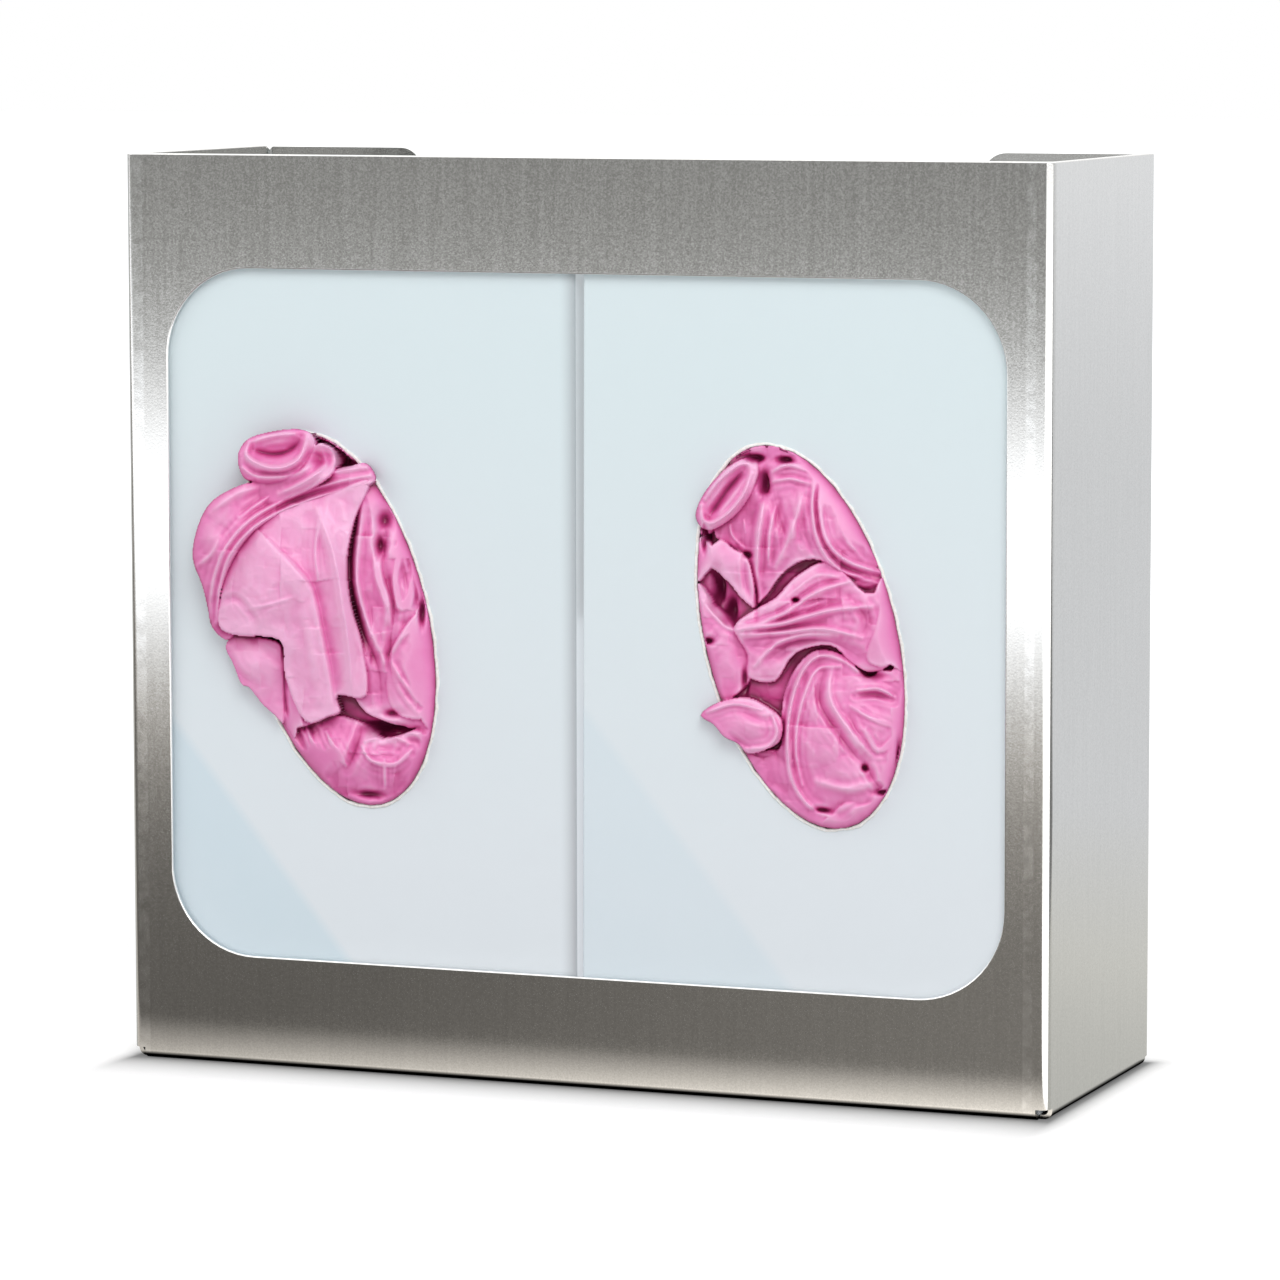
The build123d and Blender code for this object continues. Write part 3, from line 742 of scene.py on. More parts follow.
# Layers of the left opening, from the innermost to the outermost
leftLayers = [
    sheet("left_inner_glove", -3.0, 0.6, "oval",
        domes=[(-74, 125, 24, 42, 3.5)],
        ridges=[([(-80, 181), (-72, 178.5), (-66, 174)], 5.0, 1.5), ([(-70, 180), (-64, 175)], 2.0, 1.0)]),
    sheet("left_inner_glove", 1.5, 1.5, [(-66, 167), (-60, 166.5), (-55, 159), (-50.5, 149), (-46.5, 135),
            (-43.5, 120), (-43.5, 108), (-45, 101), (-52, 99), (-60, 101), (-66, 104), (-70, 112), (-71, 130),
            (-70, 150)],
        domes=[(-61, 132, 12, 36, 3.5)],
        ridges=[([(-64.5, 166), (-66.6, 152), (-67.2, 140), (-64, 128), (-59, 118)], 3.4, 2.0), ([(-62, 166),
            (-60.8, 152), (-60.2, 142), (-57.2, 132), (-56.5, 122)], 3.6, 2.2), ([(-53, 153), (-55.4, 142),
            (-54, 133.5), (-50.5, 137), (-50.5, 147)], 2.4, 1.3), ([(-54.5, 161), (-50.6, 148), (-47.3, 136)],
            2.8, 1.0)],
        grooves=[([(-66, 163), (-69, 150), (-69.6, 140), (-66, 127), (-61, 116), (-60, 106)], 2.8, 1.2),
            ([(-58, 154), (-59.2, 144), (-56.2, 134), (-57, 124), (-57.5, 112)], 3.0, 1.0), ([(-52.4, 155),
            (-50, 142), (-48.6, 131)], 2.6, 0.8)]),
    sheet("left_inner_glove", 3.2, 1.2, [(-57, 121), (-50, 131), (-46, 130.5), (-43.6, 118), (-43.2, 110),
            (-45, 103), (-52, 102), (-57, 105), (-58.5, 112)], crumple=0.7,
        domes=[(-50, 117, 8, 13, 2.4)],
        ridges=[([(-57, 120), (-52, 127), (-47, 131)], 1.6, 1.2), ([(-57, 118), (-53, 112), (-48, 106)],
            1.4, 1.1)],
        grooves=[([(-55, 117), (-51.5, 109), (-46, 104)], 1.6, 0.9)]),
    sheet("left_inner_glove", 1.3, 1.6, [(-91, 99), (-84, 101), (-74, 102), (-66, 100), (-60, 96), (-52, 98),
            (-45.5, 101), (-44.5, 92), (-46.5, 86), (-53, 82), (-62, 79.8), (-72, 80.5), (-80, 85),
            (-86, 91)], tone=-0.08,
        domes=[(-68, 91, 20, 8, 4.2)],
        ridges=[([(-83.5, 98.5), (-80, 91)], 1.6, 0.8), ([(-77, 97), (-74, 92), (-71, 88)], 2.2, 0.8),
            ([(-66, 93.5), (-63, 89.6), (-56, 88.8), (-51, 93)], 2.2, 0.8), ([(-65, 95), (-58, 97),
            (-52, 95)], 1.6, 1.0), ([(-54, 98), (-48.5, 97.5), (-45, 93)], 2.4, 1.5), ([(-59, 90), (-59, 82)],
            1.4, 0.7), ([(-90, 98), (-86, 91.5)], 1.4, 0.9)],
        grooves=[([(-70.5, 87), (-67.8, 93), (-66, 99)], 3.0, 1.1), ([(-88, 98), (-83, 90)], 1.8, 0.9),
            ([(-84, 100), (-80.5, 96)], 1.8, 1.1), ([(-62, 94), (-56, 92.5)], 1.6, 1.8), ([(-50, 84),
            (-46.5, 88)], 2.2, 0.9)]),
    sheet("left_palm_glove", 5.0, 1.6, [(-63, 169), (-74, 165), (-84, 162), (-93, 158), (-101, 152.5),
            (-106.5, 144), (-109.5, 133), (-110, 126), (-105, 123.5), (-91, 122.5), (-89.5, 112),
            (-83.5, 99.8), (-76, 101.5), (-72.6, 103), (-73.2, 107.6), (-64.5, 108), (-65.5, 122), (-69, 134),
            (-70, 146), (-67.5, 158)], crumple=0.7, tone=0.16, over=True,
        domes=[(-97, 140, 18, 24, 8.0), (-73, 138, 9, 30, 3.0)],
        lips=[([(-74, 102), (-75, 112), (-77.5, 125), (-80.5, 137.5), (-86, 144), (-94, 151)],
            3.6, 0.7, 9.0)],
        ridges=[([(-79, 160), (-73.8, 147), (-71.2, 133), (-69.5, 120), (-68.6, 106)], 4.4, 2.8),
            ([(-78.6, 157), (-79.6, 148), (-78.8, 140)], 1.2, 0.8), ([(-101, 131), (-94, 132.5), (-86, 135)],
            0.5, 0.8)],
        grooves=[([(-80.5, 139), (-78, 128), (-75.6, 114), (-73.6, 104)], 2.4, 2.0), ([(-110, 132),
            (-104.5, 134), (-99.5, 129.5), (-98, 125)], 0.9, 0.8)]),
    sheet("left_palm_glove", 3.5, 1.4, [(-108.4, 120), (-105, 123.7), (-97, 123.2), (-91.3, 121.8),
            (-90, 118), (-90.2, 108), (-90.4, 99), (-93, 100.8), (-97, 104), (-101, 108.5), (-103.5, 109.5),
            (-106, 115)], crumple=0.7, tone=0.1, over=True,
        domes=[(-98, 116, 8, 7, 3.4)],
        grooves=[([(-107.5, 118), (-104, 112.5), (-99, 109.5)], 1.0, 1.0)]),
    sheet("left_palm_glove", 3.4, 1.0, [(-91, 122), (-87, 118), (-84, 112), (-80.5, 104), (-80, 100),
            (-85, 98), (-90.5, 97.5), (-91, 106)],
        domes=[(-86, 108, 5, 10, 1.5)],
        ridges=[([(-88.6, 118), (-87, 108), (-85, 99)], 1.9, 1.0)],
        grooves=[([(-90.2, 115), (-89.7, 104), (-88.4, 98)], 2.4, 0.8), ([(-86, 114), (-84.6, 105),
            (-83, 99)], 1.8, 0.8)]),
    sheet("left_cuff_glove", 4.6, 2.4, [(-61.5, 168.5), (-64, 173.5), (-70, 172.5), (-78, 171), (-86, 168.5),
            (-94, 167.5), (-101, 166.8), (-109.5, 163), (-114.5, 158), (-117.6, 150), (-118, 144),
            (-115.2, 137), (-113.6, 130), (-112.6, 125.5), (-108.6, 122), (-105.4, 123.6), (-108, 126),
            (-109.4, 134), (-105.5, 144), (-99, 152.5), (-90, 158), (-80, 162), (-70, 165.3)],
            crumple=0.8, over=True,
        domes=[(-106, 151, 14, 20, 9.0)],
        ridges=[([(-63, 167.8), (-72, 165.6), (-82, 162.4), (-91, 158.7), (-99, 153.5), (-105.5, 146),
            (-109.3, 136), (-110.8, 127)], 3.0, 0.95), ([(-63, 170), (-72, 168.2), (-82, 165.2), (-92, 161),
            (-101, 155), (-108, 146.5), (-112, 136), (-112.8, 128)], 2.6, 0.95), ([(-64, 172.3), (-73, 171),
            (-83, 168), (-93, 163.8), (-103, 157)], 2.2, 1.0), ([(-116.5, 143), (-112, 146), (-109, 151)],
            1.2, 1.0), ([(-112, 158), (-104, 163.5), (-96, 166)], 1.2, 1.6)],
        grooves=[([(-82, 168), (-91, 164.5), (-100, 160), (-107, 153)], 1.8, 2.2)]),
    sheet("left_cuff_glove", 8.0, 2.0, [(-79, 178.6), (-75, 177.6), (-73.4, 174), (-75, 169.5), (-82, 165.2),
            (-91, 161.5), (-98, 160.5), (-103, 163.5), (-98, 167), (-90, 169), (-84, 171), (-81.5, 175)],
            crumple=0.5, over=True,
        domes=[(-82, 171, 9, 6, 3.0)],
        ridges=[([(-78, 177), (-76.6, 172.5), (-82, 168), (-91, 164)], 1.8, 1.2)],
        grooves=[([(-79.5, 175), (-80, 171), (-88, 166.6)], 1.4, 0.8)]),
    sheet("left_cuff_glove", 8.0, 3.4, [(-103.6, 175), (-103, 170), (-100.5, 167.4), (-94, 166.8),
            (-86, 168.5), (-80.5, 172), (-79.5, 177), (-81, 181.4), (-86, 182.6), (-94, 181.5),
            (-100.5, 179.3)], crumple=0.4, over=True,
        domes=[(-92, 173, 11, 6, 3.0)],
        ridges=[([(-99.8, 178.4), (-100.6, 174.6), (-96, 171.8), (-90, 171.2), (-84.5, 174), (-82, 180)],
            2.6, 1.1), ([(-98.5, 178.6), (-92, 180.4), (-86, 181)], 1.8, 0.9), ([(-102, 171), (-97, 168.6),
            (-89, 169)], 1.4, 1.0)],
        grooves=[([(-99, 176.4), (-95, 175.4), (-90, 175.6), (-86, 177.6), (-84, 180.6)], 5.0, 1.7),
            ([(-102.6, 173.4), (-98, 170), (-90, 169.8), (-84, 172)], 1.4, 0.6)]),
]
# Small dark gaps between the layers: x, z, half width, half height, depth
leftGaps = [(-76, 174.5, 6, 3.2, 7), (-69, 176.5, 3, 1.5, 4), (-58.8, 157.5, 2.2, 2.8, 4),
    (-60, 150.5, 1.6, 3.2, 5), (-61.5, 98.6, 3.6, 1.8, 7), (-56, 99.2, 5, 1.0, 4), (-64, 79.8, 4, 1.2, 3),
    (-47.6, 132, 0.9, 3.4, 4), (-109, 123.6, 3, 1.0, 3), (-57, 103.2, 2.6, 1.2, 3), (-86, 182, 4, 0.7, 2)]

# Layers of the right opening
rightLayers = [
    sheet("right_middle_glove", -3.0, 0.6, "oval",
        domes=[(66, 130, 22, 42, 3.0)]),
    sheet("right_cuff_glove", 0.4, 1.5, [(46, 176), (52, 179), (58, 180.2), (64, 179), (70, 175.6), (76, 171),
            (80, 165), (84, 158), (88, 150), (89.6, 143.5), (86, 140.5), (80, 142.4), (76, 147), (72, 150.5),
            (66, 150.5), (60, 146.5), (56, 141), (52, 137.5), (50, 140), (49, 150), (45, 154), (40, 158)],
        domes=[(70, 160, 16, 16, 4.6)],
        ridges=[([(55, 168), (53.2, 158), (52.6, 148), (53.4, 139)], 3.2, 1.5), ([(58.4, 166), (56.4, 158),
            (56, 149)], 1.5, 1.0), ([(72, 175), (71, 165), (73, 156), (79, 150.7), (89, 148)], 2.4, 0.9),
            ([(69.6, 174.6), (68.6, 165), (70.6, 155), (76.6, 148.5), (88, 145)], 1.8, 0.8), ([(66, 169),
            (62.5, 158), (58, 148.5)], 2.2, 1.9), ([(57, 174.6), (62, 176.6), (69, 175)], 2.2, 0.8),
            ([(56, 171.6), (62, 172.8), (68, 171.6)], 1.2, 0.9), ([(80, 166), (78, 158), (84, 151)],
            0.9, 1.0), ([(73, 170), (78, 163), (82, 158)], 0.7, 1.2)],
        grooves=[([(71, 174), (69.8, 165), (71.9, 156), (78, 149.6), (88.5, 146.5)], 1.5, 0.45), ([(57, 171),
            (59, 163), (61, 156), (58.6, 152)], 1.6, 1.1), ([(79, 143.5), (84, 143), (89.6, 144.2)],
            1.4, 0.6), ([(79, 146), (85, 146.4)], 1.0, 0.5), ([(64, 165), (66, 158), (71, 152)], 0.9, 1.1)]),
    sheet("right_cuff_glove", 2.6, 2.4, [(34.8, 163), (35.4, 159.8), (38, 158), (42, 159.2), (47, 163),
            (51, 168.5), (53.2, 174.5), (52, 178), (48, 177.8), (42, 173.8), (37.2, 168.2)],
            crumple=0.4, over=True,
        domes=[(44, 168, 8, 9, 1.2)],
        ridges=[([(36.4, 164.6), (36.8, 161), (39.6, 160), (44, 162.6), (48.4, 167.6), (51, 173.6)],
            2.4, 0.95), ([(37.6, 166.6), (42, 172), (47, 176), (50.4, 176.8)], 2.0, 0.9)],
        grooves=[([(38.6, 161.4), (41, 165), (45, 170.4), (49, 175)], 3.4, 0.95)]),
    sheet("right_cuff_glove", 0.9, 1.0, [(41, 158.5), (47, 161), (51, 164.5), (51.6, 156), (50, 151),
            (45, 153.5), (41, 156)],
        ridges=[([(44.6, 161), (45.6, 156.6), (49, 153.4)], 1.6, 0.8), ([(48.6, 162), (49.6, 156)],
            1.2, 0.7)]),
    sheet("right_middle_glove", 3.2, 1.3, [(35.2, 148.4), (41.5, 155.4), (46, 153), (50, 150.6), (52.4, 141),
            (52, 137), (48, 139.6), (45, 143), (40, 147.2)], crumple=0.6,
        domes=[(45, 149.6, 7, 4, 1.8)],
        grooves=[([(49, 150), (49.4, 144), (51.4, 138)], 1.4, 0.7)]),
    sheet("right_middle_glove", -1.2, 0.8, [(35.4, 148), (38, 146.5), (40, 141), (44, 133.5), (41, 130),
            (37, 137), (35.8, 143)]),
    sheet("right_middle_glove", 1.2, 1.2, [(36.6, 139.4), (45.5, 132), (50, 128), (51.5, 121), (50, 116),
            (45.4, 111.8), (42.4, 111), (40.4, 118), (37.6, 129)], crumple=0.8,
        domes=[(44, 122, 5, 9, 2.2)],
        grooves=[([(37.2, 127), (39.6, 127.6), (41.6, 129.6)], 1.2, 0.8)],
        ridges=[([(37, 138), (43, 132), (49, 129), (51.6, 121)], 1.2, 1.0)]),
    sheet("right_middle_glove", 2.5, 1.4, [(46, 131.5), (52, 136.5), (58, 140), (64, 146), (72, 150.5),
            (78, 147.5), (84, 142.5), (89.6, 142), (91.6, 133), (92, 124), (86, 120.5), (80, 123),
            (74, 127.5), (64, 125), (58, 117), (50, 118), (50, 124)],
        domes=[(68, 137, 18, 11, 3.0)],
        ridges=[([(46.5, 131), (58, 134.6), (70, 142), (82, 146)], 2.2, 1.3), ([(46.5, 130.6), (60, 133.2),
            (74, 137.2), (86, 138.6)], 2.6, 1.1), ([(48, 129.4), (60, 130.6), (72, 132), (83, 130)],
            2.0, 1.0), ([(52, 121), (58, 127), (66, 130), (76, 130.4)], 2.4, 1.1), ([(62, 141), (70, 146.6),
            (77, 146)], 1.0, 1.3)],
        grooves=[([(48, 132), (60, 136.6), (70, 143.6), (78, 145.6)], 1.4, 0.55), ([(48, 130.8), (62, 134.8),
            (76, 139.8)], 1.4, 0.6), ([(50, 129.9), (62, 131.8), (74, 134.6)], 1.5, 0.6), ([(56, 123),
            (64, 128.2), (74, 128.6), (82, 125)], 2.2, 1.3), ([(80, 141), (84.4, 135), (83, 130.6)],
            1.8, 1.1)]),
    sheet("right_middle_glove", 3.6, 1.1, [(89, 140.6), (91, 131), (91.6, 124), (89, 122.3), (85, 123.5),
            (84.8, 127), (87, 133)], crumple=0.5,
        domes=[(88.5, 130, 4, 8, 1.3)]),
    sheet("right_lower_glove", 0.7, 1.6, [(84.5, 119.5), (78, 125), (71, 126.3), (66, 123.4), (62, 117.5),
            (60, 110), (59.8, 100), (57, 97), (51.4, 93), (55, 87.4), (60, 84.4), (61.6, 80.6), (70, 78.6),
            (80, 78.8), (86.4, 81), (91, 85.4), (94, 93), (95, 103), (94.6, 112), (93, 120), (89, 121.4)],
        domes=[(78, 103, 16, 20, 5.5)],
        ridges=[([(82, 121), (76, 124.2), (70, 124.2), (65.4, 119), (62.5, 110), (61.5, 100), (63, 90),
            (68, 83), (74, 80.5)], 2.8, 0.9), ([(77, 121.8), (70.6, 121), (67, 115), (64.6, 106), (64.2, 97),
            (66, 89)], 1.6, 0.8), ([(74.5, 121), (73.8, 113), (79, 105), (85, 98)], 1.8, 1.3), ([(82, 115.6),
            (88, 116.2), (92.6, 114)], 1.8, 0.7), ([(80, 111), (86, 108), (93, 106)], 1.2, 0.9), ([(84, 105),
            (88, 99.4), (94, 104)], 2.0, 1.0), ([(70, 90), (80, 88.4), (90, 92)], 1.4, 1.6)],
        grooves=[([(72, 120), (71, 112), (76, 104), (84, 94.6)], 2.4, 0.8), ([(81, 114), (87, 114.7),
            (91.6, 113.6)], 2.0, 0.6), ([(84, 97), (86.4, 91.4), (90, 88)], 2.2, 0.9), ([(79, 110), (82, 104),
            (85, 101)], 1.2, 0.7), ([(63, 121), (61, 112), (60.4, 100)], 1.2, 0.7)]),
    sheet("right_lower_glove", 3.0, 1.1, [(74.4, 80.4), (78.6, 84.6), (85, 86.8), (90, 86.2), (89, 83.4),
            (84.6, 80.8), (78, 79.6)], crumple=0.4,
        domes=[(81, 83, 4, 2, 1.4)],
        grooves=[([(77, 81), (82, 84), (87, 85.4)], 0.8, 0.5)]),
    sheet("right_middle_glove", 3.4, 1.4, [(36.2, 106.4), (38.5, 109), (43, 111), (50, 112.2), (56, 109.8),
            (60, 106.5), (59.7, 101), (56.5, 98.5), (50.5, 96.6), (47, 99.3), (43, 101), (40, 104.2)],
            crumple=0.6, over=True,
        domes=[(49, 105, 8, 5, 2.2)],
        ridges=[([(38, 107.6), (46, 110.3), (54, 109)], 1.5, 0.7), ([(50, 98), (56, 99), (58.6, 103),
            (57, 108)], 1.6, 0.8)],
        grooves=[([(45, 101.6), (50, 98.4)], 1.0, 0.6), ([(48, 108.6), (54, 106), (58, 106.4)], 1.2, 0.8)]),
    sheet("right_lower_glove", 1.2, 1.2, [(47.4, 99.6), (51, 97), (58, 98.3), (61.6, 96), (62, 86),
            (57, 86.4), (51, 92.6)],
        grooves=[([(50, 96.4), (56, 95.4), (61, 96)], 1.0, 0.5)]),
]
# Small dark gaps between the layers: x, z, half width, half height, depth
rightGaps = [(52, 178.2, 2.6, 1.2, 5), (55, 171, 1.4, 3.4, 5), (61, 178, 2.2, 0.9, 4),
    (37.4, 155.4, 0.8, 3.2, 4), (40.6, 142, 1.6, 5, 5), (44.2, 136, 1.8, 3.4, 5), (64, 139.6, 1.0, 0.6, 4),
    (84, 94.2, 0.9, 0.9, 3), (89, 87.8, 2, 0.8, 3), (72, 82, 2.6, 0.8, 3), (49.2, 117, 0.8, 3, 3),
    (50, 151.6, 1.2, 0.8, 3), (86, 119.8, 3.4, 1.2, 3), (38.6, 127.4, 1.4, 0.9, 3), (52.5, 140, 0.7, 5, 2),
    (94, 97, 0.8, 5, 2)]


def ovalOutline(side):
    halfX, halfZ = (half - gloveGrid["ovalInset"] for half in gloveGrid["ovalHalf"])
    x, z = gloveGrid["ovalMiddle"][side]
    tilt = math.radians(gloveGrid["ovalTilt"])
    points = []
    for k in range(gloveGrid["ovalSteps"]):
        a = 2 * math.pi * k / gloveGrid["ovalSteps"]
        u, v = halfX * math.cos(a), halfZ * math.sin(a)
        across = x + u * math.cos(tilt) - v * math.sin(tilt)
        points.append((across, z + u * math.sin(tilt) + v * math.cos(tilt)))
    return points


def stackLayers(X, Z, layers, gaps, oval, inOval, seed):
    # The highest film at each point, its layer, where there is film, and how far inside an outline
    cell = gloveGrid["cell"]
    heights, edges = [], []
    for index, layer in enumerate(layers):
        shape = dict(layer, outline=oval) if layer["outline"] == "oval" else layer
        height, inside = layerHeight(X, Z, shape, inOval, seed + 10 * index)
        height = np.where(inside >= 0, height, gloveGrid["noFilm"])
        # Over the card a film edge stays in front of it
        over = (inOval < 0) & (inside >= 0)
        heights.append(np.where(over, np.maximum(height, gloveGrid["overFilm"]), height))
        edges.append(inside)
    owner = np.argmax(heights, axis=0)
    top = np.max(heights, axis=0)
    covered = np.max(edges, axis=0) >= 0
    for x, z, halfX, halfZ, depth in gaps:
        top = top - np.where(inOval > gloveGrid["gapInset"], depth, 0) * hump(X, Z, x, z, halfX, halfZ)
    weight = blurred(covered.astype(float), gloveGrid["softening"] / cell)
    soft = blurred(np.where(covered, top, 0.0), gloveGrid["softening"] / cell) / np.maximum(weight, 0.3)
    return np.where(covered, soft, top), owner, covered, np.max(edges, axis=0)


def foldShadeAndTone(top, covered, tones):
    # Painted shade: deep places and hollows are darker; painted highlight: crests are lighter; each layer's
    # tone is added
    cell = gloveGrid["cell"]
    fold = 0.50 + gloveGrid["depthShadeGain"] * np.clip(top - 1.0, *gloveGrid["depthShadeRange"])
    for reach, gain in zip(gloveGrid["shadingReach"], gloveGrid["shadingGain"]):
        weight = blurred(covered.astype(float), reach / cell)
        around = blurred(np.where(covered, top, 0.0), reach / cell) / np.maximum(weight, 0.2)
        fold += gain * (top - around)
    return fold + blurred(tones, gloveGrid["toneBlur"] / cell)


def makeGloves(side, layers, gaps, seed):
    cell = gloveGrid["cell"]
    oval = ovalOutline(side)
    corners = list(oval)
    for layer in layers:
        corners += [] if layer["outline"] == "oval" else layer["outline"]
    corners = np.array(corners)
    low, high = corners.min(0) - gloveGrid["margin"], corners.max(0) + gloveGrid["margin"]
    X, Z = np.meshgrid(np.arange(low[0], high[0], cell), np.arange(low[1], high[1], cell))
    inOval = insideDistance(X, Z, np.array(oval))
    top, owner, covered, outer = stackLayers(X, Z, layers, gaps, oval, inOval, seed)
    fold = foldShadeAndTone(top, covered, np.array([layer.get("tone", 0.0) for layer in layers])[owner])
    names = sorted({layer["piece"] for layer in layers})
    owners = np.array([names.index(layer["piece"]) for layer in layers])[owner]
    slopeZ, slopeX = np.gradient(outer, cell)
    steepness = np.maximum(np.hypot(slopeX, slopeZ), 1e-6)
    for number, name in enumerate(names):
        mine = covered & (owners == number)
        level = np.where(mine, top, 99.0)
        grown, lowest = mine.copy(), level.copy()
        for axis in (0, 1):
            grown |= np.roll(mine, 1, axis) | np.roll(mine, -1, axis)
            lowest = np.minimum(lowest, np.minimum(np.roll(level, 1, axis), np.roll(level, -1, axis)))
        rim = grown & ~mine
        # Beside a neighbour the edge runs on at its own level, under it
        height = np.where(rim & covered, np.minimum(lowest, top - gloveGrid["tuck"]), top)
        # Past the free edge the outermost points slide back onto the outline
        free = rim & ~covered
        underCard, onCard = gloveGrid["freeEdge"]
        height = np.where(free, np.where(inOval > 0, underCard, onCard), height)
        pull = np.where(free, outer, 0.0)
        gridX, gridZ = X - pull * slopeX / steepness, Z - pull * slopeZ / steepness
        writeGlove(name, gridX, gridZ, height, fold, grown, inOval)


def writeGlove(name, X, Z, height, fold, mask, inOval):
    # A closed solid: the film's relief in front, a plug through the opening behind
    quads = mask[:-1, :-1] & mask[1:, :-1] & mask[:-1, 1:] & mask[1:, 1:]
    used = np.zeros(mask.shape, bool)
    for rows in (slice(None, -1), slice(1, None)):
        for columns in (slice(None, -1), slice(1, None)):
            used[rows, columns] |= quads
    index = np.full(mask.shape, -1)
    index[used] = np.arange(used.sum())
    count = int(used.sum())
    back = np.where(inOval > 0, gloveGrid["plugBack"], gloveGrid["overCard"] - 0.05)
    back = np.minimum(back, height - gloveGrid["thinnest"])
    leanX, leanZ = gloveGrid["lean"]
    points = []
    for depth in (height, back):
        lean = np.maximum(depth, 0)
        place = np.stack([X + leanX * lean, gloveGrid["frontPlane"] - depth, Z + leanZ * lean], -1)
        points.append(place[used])
    points = np.vstack(points) * mm
    rows, columns = np.nonzero(quads)
    a, b = index[rows, columns], index[rows, columns + 1]
    c, d = index[rows + 1, columns + 1], index[rows + 1, columns]
    front = np.stack([a, b, c, d], 1)
    rear = front[:, ::-1] + count
    # Walls stand on the sides that only one quad has
    sides = np.concatenate([front[:, [k, (k + 1) % 4]] for k in range(4)])
    key = sides[:, 0] * count + sides[:, 1]
    opposite = sides[:, 1] * count + sides[:, 0]
    border = sides[~np.isin(key, opposite)]
    wall = np.stack([border[:, 1], border[:, 0], border[:, 0] + count, border[:, 1] + count], 1)
    faces = np.vstack([front, rear, wall])
    mesh = bpy.data.meshes.new(name)
    mesh.vertices.add(len(points))
    mesh.vertices.foreach_set("co", points.ravel())
    mesh.loops.add(4 * len(faces))
    mesh.loops.foreach_set("vertex_index", faces.ravel())
    mesh.polygons.add(len(faces))
    mesh.polygons.foreach_set("loop_start", np.arange(0, 4 * len(faces), 4))
    mesh.polygons.foreach_set("use_smooth", np.ones(len(faces), bool))
    mesh.update(calc_edges=True)
    # The painted shade and highlight of the folds, kept on the mesh for the film's colour
    tone = mesh.attributes.new("fold", "FLOAT", "POINT")
    tone.data.foreach_set("value", np.tile(np.clip(fold[used], 0, 1), 2).astype(np.float32))
    piece = link(name.replace("_glove", "_film_glove"), mesh, film)
    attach(piece, "root")
    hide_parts(name)
    print(name, len(faces), "faces")


makeGloves("left", leftLayers, leftGaps, 100)
makeGloves("right", rightLayers, rightGaps, 500)


# Torn rim of each opening: a ragged white edge of raw card with loose fibres, made by Geometry Nodes
tornRim = {
    "thickness": 0.62,
    "thicknessBase": 0.4,
    "profileSides": 6,
    "wander": 1.6,
    "wanderScale": 260.0,
    "wanderAxes": (1, 0.2, 1),
    "steps": 420,
    "fibres": 150,
    "fibreSides": 4,
    "fibreLength": 1.3,
    "fibreWidth": 0.05,
    "fibreTurns": ((0.6, 0.0, 0.0), (2.5, 6.3, 6.3)),
    "fibreScales": (0.25, 1.0),
    "seeds": {"left": 3, "right": 8},
}
tornCard = {
    "pulpScale": 900.0,
    "stops": [(0.3, (0.80, 0.77, 0.73)), (0.6, (0.95, 0.94, 0.92))],
    "roughness": 0.9,
    "pulpDepth": 0.4,
    "pulpDistance": 0.0002,
}


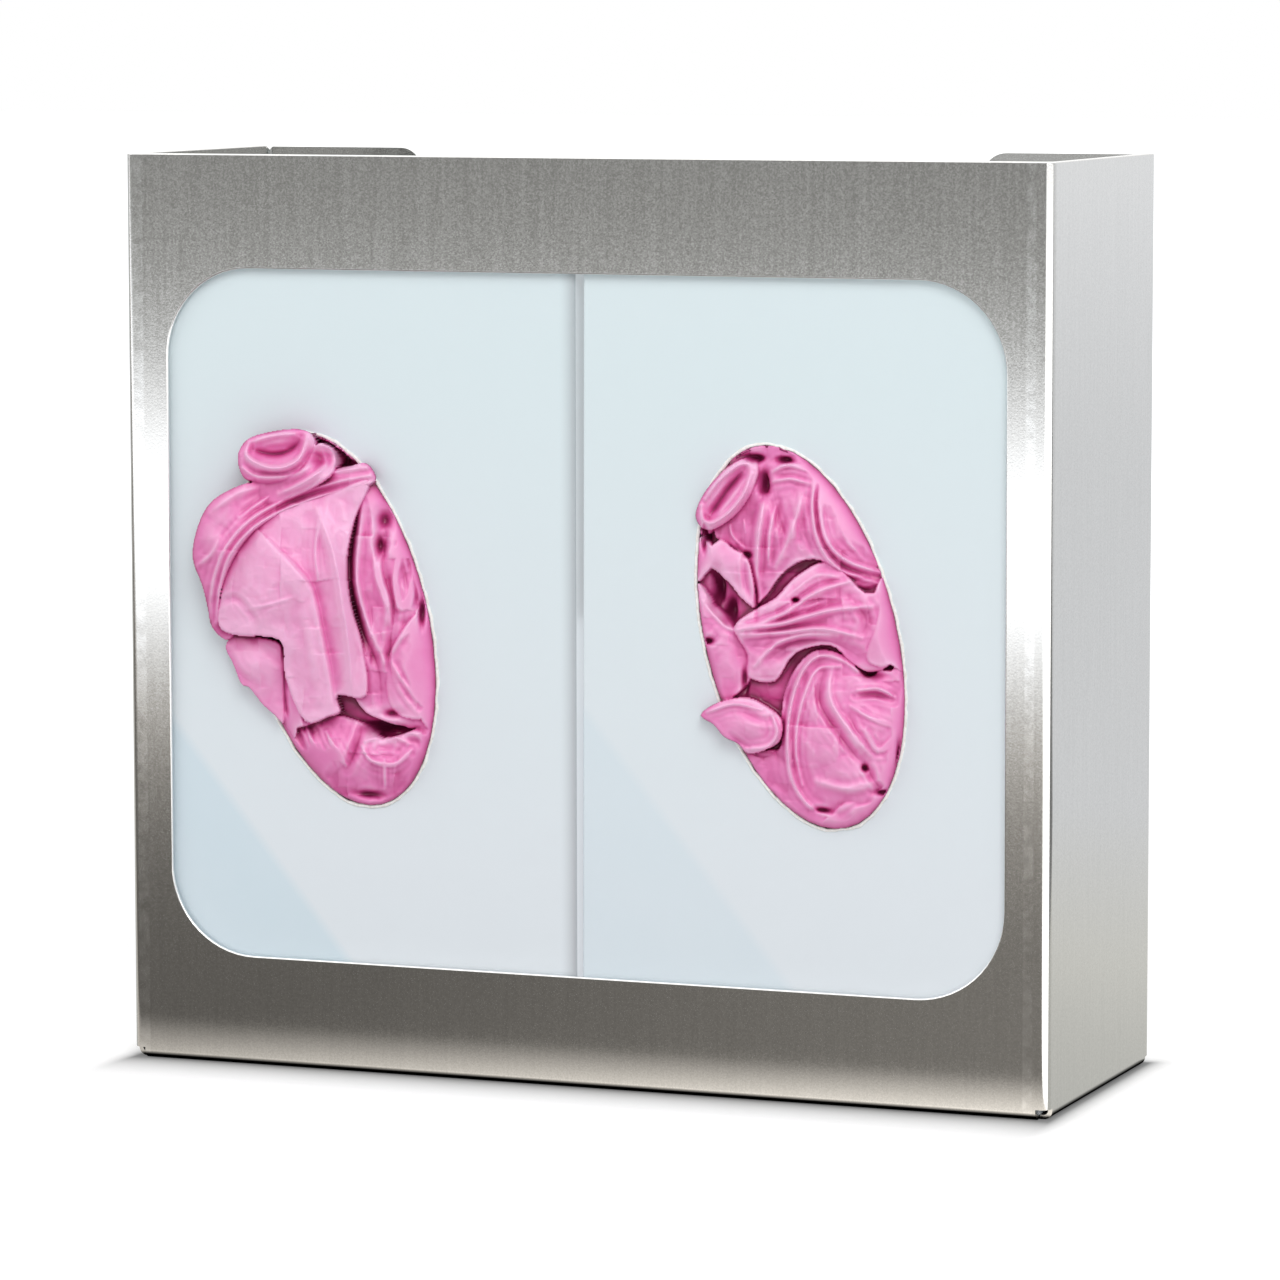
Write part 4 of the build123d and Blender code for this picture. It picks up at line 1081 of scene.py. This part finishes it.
def rimTree(material):
    tree = bpy.data.node_groups.new("tornRimNodes", "GeometryNodeTree")
    tree.is_modifier = True
    kinds = {"Geometry": "Geometry", "Place": "Vector", "Turn": "Vector", "Seed": "Int"}
    for name in ("Half Width", "Half Height", "Thickness", "Wander", "Fibre Length"):
        kinds[name] = "Float"
    sockets = {}
    for name, kind in kinds.items():
        socket = tree.interface.new_socket(name, in_out="INPUT", socket_type=f"NodeSocket{kind}")
        sockets[name] = socket.identifier
    tree.interface.new_socket("Geometry", in_out="OUTPUT", socket_type="NodeSocketGeometry")
    given = tree.nodes.new("NodeGroupInput").outputs

    def step(kind, inputs, **settings):
        return addNode(tree, kind, inputs, **settings).outputs[0]

    # The oval, laid out flat, stood up and turned
    circle = step("GeometryNodeCurvePrimitiveCircle", {"Resolution": tornRim["steps"], "Radius": 1.0})
    halves = step("ShaderNodeCombineXYZ", {"X": given["Half Width"], "Y": given["Half Height"], "Z": 1.0})
    oval = step("GeometryNodeTransform", {"Geometry": circle, "Scale": halves})
    stood = {"Geometry": oval, "Rotation": given["Turn"], "Translation": given["Place"]}
    oval = step("GeometryNodeTransform", stood)
    # The tear wanders in and out
    values = {"W": given["Seed"], "Scale": tornRim["wanderScale"], "Detail": 4.0}
    noise = addNode(tree, "ShaderNodeTexNoise", values, noise_dimensions="4D")
    centred = {0: noise.outputs["Color"], 1: (0.5, 0.5, 0.5)}
    shift = step("ShaderNodeVectorMath", centred, operation="SUBTRACT")
    shift = step("ShaderNodeVectorMath", {0: shift, "Scale": given["Wander"]}, operation="SCALE")
    shift = step("ShaderNodeVectorMath", {0: shift, 1: tornRim["wanderAxes"]}, operation="MULTIPLY")
    torn = step("GeometryNodeSetPosition", {"Geometry": oval, "Offset": shift})
    thick = math2(tree, "ADD", noise.outputs["Fac"], tornRim["thicknessBase"])
    thick = product(tree, thick, given["Thickness"])
    profile = step("GeometryNodeCurvePrimitiveCircle", {"Resolution": tornRim["profileSides"], "Radius": 1.0})
    cord = step("GeometryNodeCurveToMesh", {"Curve": torn, "Profile Curve": profile, "Scale": thick})
    # Loose fibres stand out from the tear
    spread = step("GeometryNodeResampleCurve", {"Curve": torn, "Count": tornRim["fibres"]})
    cone = {"Vertices": tornRim["fibreSides"], "Radius Top": 0.0, "Depth": given["Fibre Length"]}
    cone["Radius Bottom"] = tornRim["fibreWidth"] * mm
    fibre = step("GeometryNodeMeshCone", cone)
    low, high = tornRim["fibreTurns"]
    values = {0: low, 1: high, "Seed": given["Seed"]}
    turns = step("FunctionNodeRandomValue", values, data_type="FLOAT_VECTOR")
    low, high = tornRim["fibreScales"]
    values = {2: low, 3: high, "Seed": given["Seed"]}
    lengths = addNode(tree, "FunctionNodeRandomValue", values, data_type="FLOAT").outputs[1]
    strewn = {"Points": spread, "Instance": fibre, "Rotation": turns, "Scale": lengths}
    strewn = step("GeometryNodeInstanceOnPoints", strewn)
    joined = tree.nodes.new("GeometryNodeJoinGeometry")
    for part in (cord, strewn):
        tree.links.new(part, joined.inputs[0])
    real = step("GeometryNodeRealizeInstances", {"Geometry": joined.outputs[0]})
    painted = step("GeometryNodeSetMaterial", {"Geometry": real, "Material": material})
    tree.links.new(painted, tree.nodes.new("NodeGroupOutput").inputs[0])
    return tree, sockets


def makeTornCard():
    material, tree, bsdf = newMaterial("tornCard")
    pulp = speckle(tree, objectPlace(tree)[0], tornCard["pulpScale"], 3.0)
    colour = ramp(tree, pulp, tornCard["stops"])
    normal = relief(tree, pulp, tornCard["pulpDepth"], tornCard["pulpDistance"])
    wire(tree, bsdf, {"Base Color": colour, "Roughness": tornCard["roughness"], "Normal": normal})
    return material


def makeRims():
    material = makeTornCard()
    tree, sockets = rimTree(material)
    for side in ("left", "right"):
        x, z = gloveGrid["ovalMiddle"][side]
        values = {
            "Half Width": gloveGrid["ovalHalf"][0] * mm,
            "Half Height": gloveGrid["ovalHalf"][1] * mm,
            "Thickness": tornRim["thickness"] * mm,
            "Wander": tornRim["wander"] * mm,
            "Fibre Length": tornRim["fibreLength"] * mm,
            "Place": (x * mm, gloveGrid["frontPlane"] * mm, z * mm),
            "Turn": (math.radians(90), -math.radians(gloveGrid["ovalTilt"]), 0.0),
            "Seed": tornRim["seeds"][side],
        }
        piece = link(f"{side}_torn_rim", bpy.data.meshes.new(f"{side}_torn_rim"), material)
        nodes = piece.modifiers.new("tornRim", "NODES")
        nodes.node_group = tree
        for name, value in values.items():
            nodes[sockets[name]] = value
        bake(piece)
        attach(piece, "root")
        print(piece.name, len(piece.data.polygons), "faces")


makeRims()
for side in ("left", "right"):
    dress(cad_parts[f"{side}_carton"], cards[side])
    dress(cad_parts[f"{side}_glove_stack"], film)
print("gloves made")
